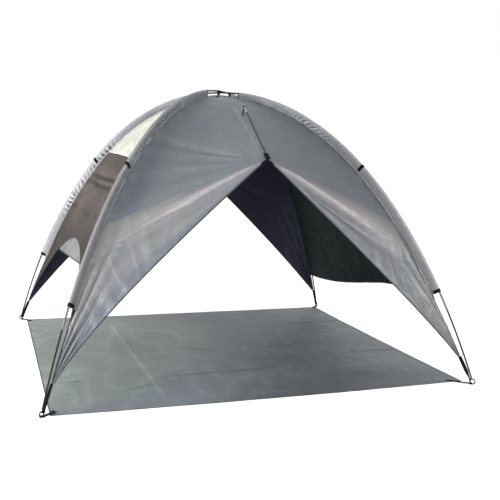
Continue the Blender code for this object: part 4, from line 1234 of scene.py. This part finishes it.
def ferrule(joint, high, r):
    # over the tube's far end: a crimped sleeve of metal, its mouth, and back down its socket
    big, half, edge = pole["ferruleWidth"] / 2, pole["ferruleLength"] / 2, pole["edge"]
    neck, mouth, fit = joint - half, joint + half, r + 0.0003
    chain = [(neck, r, 1), (neck, big - 0.0003, 1), (neck + edge, big, 1)]
    chain += crimped([neck + 0.008], big, 0.0012, 1)
    chain += [(arc, big, 1) for arc in np.linspace(neck + 0.014, mouth - 0.014, 6)]
    chain += crimped([mouth - 0.008], big, 0.0012, 1)
    chain += [(mouth - edge, big, 1), (mouth, big - 0.0003, 1), (mouth, fit, 1)]
    return chain + [(arc, fit, 1) for arc in np.linspace(mouth - 0.001, high, 4)]


def poleSection(letter, arm, k):
    # a chain of rings out along the tube, over the ferrule's lip and back down its socket
    length, count = curves[arm]["length"], pole["sections"]
    start = tent["ringRadius"] + pole["show"]
    middle = (length - 2 * pole["endSection"]) / (count - 2)
    ends = [start] + [pole["endSection"] + middle * j for j in range(count - 1)] + [length - start]
    last = k == count - 1
    low, high = ends[k] + (pole["gap"] / 2 if k else 0), ends[k + 1] - (0 if last else pole["gap"] / 2)
    r, bore, edge = tent["poleWidth"] / 2, pole["bore"] / 2, pole["edge"]
    chain = [(low + 0.004, bore, 0), (low, bore, 0), (low, r - edge, 0), (low + edge, r, 0)]
    if last:
        chain += tube(low + 0.001, high - 0.0006, r) + [(high, r - edge, 0)]
    else:
        neck = ends[k + 1] - pole["ferruleLength"] / 2
        chain += tube(low + 0.001, neck - edge, r) + ferrule(ends[k + 1], high, r)
    chain += [(high, bore, 0), (high - 0.004, bore, 0)]
    arcs, radii, slots = (np.array(x) for x in zip(*chain))
    rings = spun(onPole(arm, arcs), radii, poleFrame(arm, arcs)[1], sideways(arm), pole["sides"])
    uv = gridUv(arcs, turns(pole["sides"]) / (2 * np.pi) * 0.03)
    obj = ringMesh(f"pole_{letter}_tube_{k + 1}", rings, [glassFibre, steel], uv, ringSlots=slots[1:])
    placed(obj, f"pole_{letter}_section_{k + 1}")


for letter, arm in (("a", "near_left"), ("b", "near_right")):
    for k in range(pole["sections"]):
        poleSection(letter, arm, k)
# the cords through the poles' bores stay as in the model, in their own material
for name in ("shock_cord_a", "shock_cord_b"):
    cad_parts[name].data.materials.clear()
    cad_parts[name].data.materials.append(elastic)
print("poles made")


# Foot rings, each with a shank that plugs into its pole, and the knotted end of the cord

knot = {"place": (-1.001, -1.023, 0.0125), "size": 0.0105, "width": 0.0056, "sides": 10}


def turnedRod(name, rings, material, closed=False):
    uv = gridUv(np.linspace(0, 0.09, len(rings)), np.linspace(0, 0.012, rings.shape[1]))
    return ringMesh(name, rings, [material], uv, closed)


def footRing(arm):
    centre, side, sides = onPole(arm, np.array([0.0])), sideways(arm), 14
    path = spun(centre, [ringReach], *poleFrame(arm, np.array([0.0])), 56)[0]
    outline = tubeOutline(tent["ringWire"] / 2, sides)
    ring = turnedRod("ring", carried(path, side, outline, True), ringSteel, True)
    arcs = np.array([0.0, 0.003, 0.0045, 0.006, 0.04, 0.055, 0.06]) + ringReach
    radii = np.array([0.6, 1.3, 1.25, 1.0, 1.0, 1.0, 0.7]) * (pole["bore"] / 2 - 0.0003)
    outline = np.stack([tubeOutline(radius, sides) for radius in radii])
    pin = turnedRod("pin", carried(onPole(arm, arcs), side, outline), ringSteel)
    placed(joined("foot_ring_" + arm, [ring, pin]), "ring_pin_" + arm)


def elasticKnot():
    # a trefoil knot of elastic drawn down tight, with two short ends
    place, size = np.array(knot["place"]), knot["size"]
    outline = tubeOutline(knot["width"] / 2, knot["sides"])
    t = np.linspace(0, 2 * np.pi, 90, endpoint=False)
    x, y, z = np.sin(t) + 2 * np.sin(2 * t), np.cos(t) - 2 * np.cos(2 * t), -2.4 * np.sin(3 * t)
    trefoil = np.stack([x, y, z], -1)
    path = place + trefoil * size / 3 @ np.array([[0.8, 0.3, 0], [-0.3, 0.8, 0], [0, 0, 0.75]])
    parts = [turnedRod("knot", carried(path, np.array([0.2, 0.1, 1.0]), outline, True), elastic, True)]
    run = np.linspace(0, 1, 12)[:, None]
    for direction in ((0.5, -0.3, 0.1), (-0.6, -0.5, 0.1)):
        path = place + run * np.array(direction) * size * 1.7 + np.sin(run * 3) * np.array([0, 0.002, 0.002])
        parts.append(turnedRod("end", carried(path, np.array([0.0, 0.0, 1.0]), outline), elastic))
    placed(joined("elastic_knot", parts))


for arm in arms:
    footRing(arm)
elasticKnot()
print("rings made")


# Eave rods, each with its metal end, its pocket over the apex and its sling on the ridge

eave = {
    "rodWidth": 0.006, "tipWidth": 0.008, "tipLength": 0.068, "tipShow": 0.0017, "headOut": 0.48895,
    "headStand": 0.0625, "pocketWidth": 0.024, "pocketDepth": 0.0096, "pocketFloor": 0.004,
    "slingSetback": 0.013, "slingWidth": 0.01, "sides": 20,
}


def eaveFrame(facing):
    # foot and head of the rod, up along it, off the cloth, and sideways
    run, fall = door["apexOut"] - door["kneeOut"], door["apexHeight"] - door["kneeHeight"]
    slope = -unit(np.array([0, facing * run, fall]))
    square = np.array([0, facing * slope[2], abs(slope[1])])
    stand = 0.001 + tent["layGap"] + eave["pocketDepth"] / 2
    apex = np.array([0, facing * door["apexOut"], door["apexHeight"]])
    foot = apex + slope * eave["pocketFloor"] + square * stand
    out = eave["headOut"]
    head = np.array([0, facing * out, float(ridgeHeight(out)) + eave["headStand"]])
    up = unit(head - foot)
    over = np.array([0, facing * up[2], abs(up[1])])
    return foot, head, up, over, np.cross(over, up)


def lathe(name, foot, up, side, profile, material):
    # rings of a radius at distances along a straight line
    heights, radii = (np.array(x) for x in zip(*profile))
    rings = spun(foot + heights[:, None] * up, radii, side, np.cross(up, side), eave["sides"])
    return ringMesh(name, rings, [material], gridUv(heights, turns(eave["sides"]) / (2 * np.pi) * 0.02))


def eaveRod(side, facing):
    foot, head, up, over, across = eaveFrame(facing)
    length = float(np.linalg.norm(head - foot))
    r, tip = eave["rodWidth"] / 2, eave["tipWidth"] / 2
    profile = [(0, r * 0.6), (0.0008, r * 0.92), (0.002, r)]
    profile += [(h, r) for h in np.linspace(0.01, length - 0.002, 30)] + [(length, r * 0.8)]
    rod = lathe(side + "_eave_pole", foot, up, across, profile, glassFibre)
    placed(rod, side + "_eave_rod", side + "_rod")
    mouth, top = length - eave["tipLength"] + eave["tipShow"], length + eave["tipShow"]
    profile = [(mouth + 0.004, r + 0.0002), (mouth, r + 0.0003)]
    profile += [(mouth - 0.0003, tip - 0.0003), (mouth + 0.0004, tip)]
    profile += crimped([mouth + 0.008, mouth + 0.014], tip, 0.001)
    profile += [(top - 0.003, tip), (top - 0.0012, tip * 0.9), (top - 0.0003, tip * 0.62), (top, tip * 0.2)]
    end = lathe(side + "_rod_cap", foot, up, across, profile, aluminium)
    placed(end, side + "_eave_rod_tip", side + "_rod")
    pocketCup(side, foot, up, over, across)
    slingLoop(side, foot, up, over, across, length)


def squared(x):
    # a circle's share drawn out towards a square
    return np.sign(x) * np.abs(x) ** 0.6


def pocketCup(side, foot, up, over, across):
    # a sewn cup: a rounded oblong drawn round the rod, wider and flatter at its sewn foot
    heights = np.array([-0.013, -0.0125, -0.01, 0.002, 0.012, 0.02, 0.027, 0.0296, 0.03])
    swell = np.array([0.86, 0.95, 1.0, 1.0, 0.98, 0.95, 0.96, 0.97, 0.93])
    sides = 28
    turn = turns(sides)
    wide, deep = swell[:, None] * eave["pocketWidth"] / 2, swell[:, None] * eave["pocketDepth"] / 2
    outer = (foot + heights[:, None, None] * up + (wide * squared(np.cos(turn)))[..., None] * across
             + (deep * squared(np.sin(turn)))[..., None] * over)
    bore = eave["rodWidth"] / 2 + 0.0004
    inner = [(0.0298, bore + 0.0006), (0.028, bore), (0.012, bore), (0.0, bore), (-0.0004, bore * 0.5)]
    inner = np.array(inner)
    socket = spun(foot + inner[:, :1] * up, inner[:, 1], across, over, sides)
    uv = gridUv(np.concatenate([heights, 0.06 - inner[:, 0]]), turn / (2 * np.pi) * 0.06)[..., ::-1]
    obj = ringMesh(side + "_apex_cup", np.concatenate([outer, socket]), [webbing], uv)
    placed(obj, side + "_apex_pocket")


def slingLoop(side, foot, up, over, across, length):
    # round over the rod's end, its two legs brought down together to the ridge
    centre = foot + up * (length - eave["slingSetback"])
    half = eave["tipWidth"] / 2 + 0.0005 + webs["thickness"] / 2
    base = 0.003 - ridgeBelow(centre, over)
    head = [(half * math.cos(a), half * math.sin(a)) for a in np.linspace(0, np.pi, 13)]
    leg = [(half, -0.003), (0.0016, -0.011), (0.0013, base * 0.5), (0.0015, base + 0.002)]
    outline = np.array(head + [(-x, y) for x, y in leg] + [(0, base)] + leg[::-1])
    path = centre + outline[:, :1] * across + outline[:, 1:] * over
    path = resampled(rounded(path, 2, True), 0.002, True)
    strap(side + "_rod_loop", path, up, eave["slingWidth"], webs["thickness"], side + "_rod_sling", True)


def ridgeBelow(centre, over):
    # how far the ridge lies below a point, square to the rod
    depths = np.linspace(0, 0.2, 2001)
    probe = centre - depths[:, None] * over
    return float(depths[np.argmax(probe[:, 2] <= ridgeHeight(np.abs(probe[:, 1])))])


eaveRod("front", -1)
eaveRod("rear", 1)
print("eave rods made")


# Ground mat: a coated sheet laid on the ground, creased where it was folded

mat = {
    "flat": (2.09, 2.09), "steps": 190, "frontSwell": 0.018, "rightHollow": 0.008, "backHollow": 0.01,
    "base": 0.0009, "thickness": 0.0011, "hem": 0.007,
    "crumple": 0.0026, "crumpleShade": 0.24, "wave": 0.0016,
    # each fold: start, end, width, height, and the painted light (above 0) and shade (below 0) along it
    "folds": [((-0.50, 0.77), (-0.48, -0.90), 0.007, 0.0035, 0.4),
              ((-1.00, -0.56), (-0.84, -0.53), 0.011, 0.003, -0.3),
              ((-0.65, -0.76), (-0.49, -0.66), 0.011, 0.003, -0.24),
              ((-0.43, -0.55), (0.19, -0.51), 0.014, 0.004, -0.27),
              ((-0.22, -0.00), (-0.05, -0.02), 0.014, 0.003, -0.25),
              ((0.65, 0.52), (1.00, 0.54), 0.016, 0.003, -0.3),
              ((0.27, -0.05), (0.51, -0.03), 0.014, 0.003, -0.22),
              ((0.73, -0.28), (1.05, -0.29), 0.014, 0.003, -0.3)],
    "frontStrip": (-0.98, 0.35, 0.5),
}


def matMaterial():
    # painted sheen: green-grey and lighter at the left, drifting to a darker blue-grey at the right, with
    # streaks that run along its folds
    material = blank("mat_cloth", srgb(122, 128, 128), 0.5, 0.1)
    place = placeOf(material)
    axes = add(material, "ShaderNodeSeparateXYZ", {0: place}).outputs
    lean = maths(material, "MULTIPLY_ADD", axes[1], -0.35, axes[0])
    lean = maths(material, "MULTIPLY_ADD", noise(material, place, 1.6, 3.0), 0.6, lean)
    sheenDrift = spread(material, lean, 0, 1, -0.6, 0.4)
    color = blended(material, sheenDrift, srgb(153, 163, 157), srgb(109, 118, 125))
    speck = noise(material, stretched(material, place, (18, 16, 1)), 1.0, 6.0, 0.75, 0.8)
    color = blended(material, spread(material, speck, 0, 0.45, 0.48, 0.7), color, srgb(178, 188, 184))
    streak = noise(material, stretched(material, place, (3.0, 9, 1)), 1.0, 5.0, 0.65, 1.6)
    color = blended(material, spread(material, streak, 0, 0.2, 0.45, 0.72), color, srgb(66, 72, 76))
    # a bluer painted reflection on the strip along the front
    toned(material, color, {"cool_reflection": srgb(124, 132, 146)})
    feed(material, "Roughness", spread(material, speck, 0.4, 0.58, 0.3, 0.7))
    crumple = noise(material, stretched(material, place, (22, 30, 20)), 1.0, 6.0, 0.68, 1.2)
    clothBump(material, crumple, 0.9, 0.008, 0.0024, 0.15, 0.0004)
    return material


def foldLine(points, start, end, width, height):
    # a crease from one point of the ground to another, fading at its ends
    run = np.subtract(end, start)
    length = np.linalg.norm(run)
    along = ((points - start) @ run) / length**2
    off = ((points - start) @ np.array([-run[1], run[0]])) / length
    fade = ease(along / 0.1) * ease((1 - along) / 0.1)
    return height * fade * np.exp(-np.abs(off) / width), off


def matGrid(u, v):
    # straight threads between the four corners, whose edges then swell or hollow
    shares = ((1 - u) * (1 - v), u * (1 - v), u * v, (1 - u) * v)
    grid = sum(share[..., None] * matCorners[arm] for share, arm in zip(shares, arms))
    bow = 4 * u * (1 - u)
    grid[..., 1] += -mat["frontSwell"] * bow * (1 - v) - mat["backHollow"] * bow * v
    grid[..., 0] += -mat["rightHollow"] * 4 * v * (1 - v) * u
    return grid.reshape(-1, 2)


def matHeights(flat, edge):
    # creases where it was folded, a crumple and a slow wave, pressed flatter at the hems;
    # its tone paints shade and light along the creases and over the crumple
    x, y = flat.T
    height, tone = np.zeros(len(flat)), np.ones(len(flat))
    for start, end, width, rise, light in mat["folds"]:
        ridge, off = foldLine(flat, start, end, width, rise)
        height += ridge
        tone += light * hill(off, width * 1.2) * (np.abs(ridge) > 1e-5)
    # painted shade: darker towards the front right
    tone = tone * (1 - 0.24 * ease((-0.55 - y) / 0.3) * ease((x + 0.4) / 0.6))
    warpX, warpY = 2 * softNoise(x * 3, y * 3, 5), 1.5 * softNoise(x * 4, y * 4, 9)
    crumple = creases(x * 6 + warpX, y * 6 + warpY, 6) ** 3
    height += mat["crumple"] * crumple
    tone *= 1 + mat["crumpleShade"] * (crumple - 0.3)
    height += mat["wave"] * softNoise(x * 2.3 + 4, y * 2.6, 7)
    height *= 0.35 + 0.65 * ease(edge / 0.05)
    height += 0.0014 * hill(edge, 0.012) * creases(x * 11, y * 11, 8)
    return height, tone


def groundMat(material):
    s = np.linspace(0, 1, mat["steps"] + 1)
    u, v = np.meshgrid(s, s)
    flat = matGrid(u, v)
    edge = np.minimum(np.minimum(u, 1 - u), np.minimum(v, 1 - v)).ravel() * 2.06
    height, tone = matHeights(flat, edge)
    # a strip along the front that leans forward, painted bluer as a painted reflection
    x, y = flat.T
    start, slope, share = mat["frontStrip"]
    cool = share * ease((start + slope * (x + 1) - y) / 0.05 + 0.5) * ease((0.1 - x) / 0.7)
    points = np.concatenate([flat, (mat["base"] + np.maximum(height, 0))[:, None]], 1)
    index = numbered(len(s), len(s))
    quads = gridQuads(index)[:, ::-1]
    obj = meshPiece("beach_mat", points, quads, flat, {"tone": tone, "cool_reflection": cool}, [material, material])
    placed(thickened(obj, mat["thickness"]), "ground_mat")
    sides = {"front": (index[0], index[3]), "back": (index[-1], index[-4]),
             "left": (index[:, 0], index[:, 3]), "right": (index[:, -1], index[:, -4])}
    hems = [tape("mat_hem_" + key, points[outer], points[inner], mat["hem"], "matEdge", 0.0005, 0.0017)
            for key, (outer, inner) in sides.items()]


groundMat(matMaterial())
print("mat made")


# Floor, light and camera

light = {
    "horizon": 0.55, "overhead": 0.22, "floorGlow": 0.8, "floorSize": 60, "floorLevel": -0.0006,
    "lamps": [("left", (-5.5, 0.4, 2.6), (0, 0, 0.8), 1.8, 230),
              ("right", (4.6, -3.6, 3.4), (0, 0, 0.8), 1.8, 110),
              ("front", (-3.2, -6.0, 1.6), (0, 0, 0.6), 1.6, 220)],
}
view = {
    "place": (-1.26, -4.6486, 1.1733), "yaw": 0.3045, "pitch": -0.1235, "roll": 0.017, "focalPixels": 844.53,
    "picturePixels": 500, "sensorWidth": 36,
}


def seenRays(owner):
    # 1 for the camera's own rays and for those by way of a mirror or through glass
    ray = add(owner, "ShaderNodeLightPath").outputs
    seen = maths(owner, "MAXIMUM", ray["Is Camera Ray"], ray["Is Glossy Ray"])
    return maths(owner, "MAXIMUM", seen, ray["Is Transmission Ray"])


def paleFloor():
    size, low = light["floorSize"], light["floorLevel"]
    material = blank("pale_floor", (0.82, 0.82, 0.82), 0.9, 0.0, 0.1)
    shaderOf(material).inputs["Emission Color"].default_value = (1, 1, 1, 1)
    feed(material, "Emission Strength", maths(material, "MULTIPLY", seenRays(material), light["floorGlow"]))
    corners = [(-size, -size, low), (size, -size, low), (size, size, low), (-size, size, low)]
    meshPiece("floor", corners, [(0, 1, 2, 3)], materials=[material])


def paleWorld():
    # white where it is seen, and a light that falls from the horizon to straight overhead
    world = bpy.data.worlds.new("pale_world")
    bpy.context.scene.world = world
    world.use_nodes = True
    back = world.node_tree.nodes["Background"]
    back.inputs["Color"].default_value = (1, 1, 1, 1)
    axes = add(world, "ShaderNodeSeparateXYZ", {0: add(world, "ShaderNodeTexCoord").outputs["Generated"]})
    sky = spread(world, axes.outputs[2], light["horizon"], light["overhead"])
    level = add(world, "ShaderNodeMix", {0: seenRays(world), 2: sky, 3: 1.0}, data_type="FLOAT")
    world.node_tree.links.new(level.outputs[0], back.inputs["Strength"])


def linked(name, data):
    obj = bpy.data.objects.new(name, data)
    bpy.context.scene.collection.objects.link(obj)
    return obj


def lamps():
    for name, place, aim, size, energy in light["lamps"]:
        data = bpy.data.lights.new(name, "AREA")
        data.size, data.energy = size, energy
        obj = linked(name, data)
        obj.location = place
        obj.rotation_euler = (Vector(aim) - Vector(place)).to_track_quat("-Z", "Y").to_euler()


def camera():
    yaw, pitch, roll = view["yaw"], view["pitch"], view["roll"]
    ahead = Vector((math.sin(yaw) * math.cos(pitch), math.cos(yaw) * math.cos(pitch), math.sin(pitch)))
    level = Vector((math.cos(yaw), -math.sin(yaw), 0))
    up = level.cross(ahead)
    right = level * math.cos(roll) + up * math.sin(roll)
    up = up * math.cos(roll) - level * math.sin(roll)
    data = bpy.data.cameras.new("camera")
    data.sensor_width = view["sensorWidth"]
    data.lens = view["focalPixels"] / view["picturePixels"] * data.sensor_width
    data.clip_end = 200
    obj = linked("camera", data)
    obj.matrix_world = Matrix.Translation(view["place"]) @ Matrix((right, up, -ahead)).transposed().to_4x4()
    bpy.context.scene.camera = obj


paleFloor()
paleWorld()
lamps()
camera()
bpy.context.scene.view_settings.view_transform = "Standard"
print("studio made")
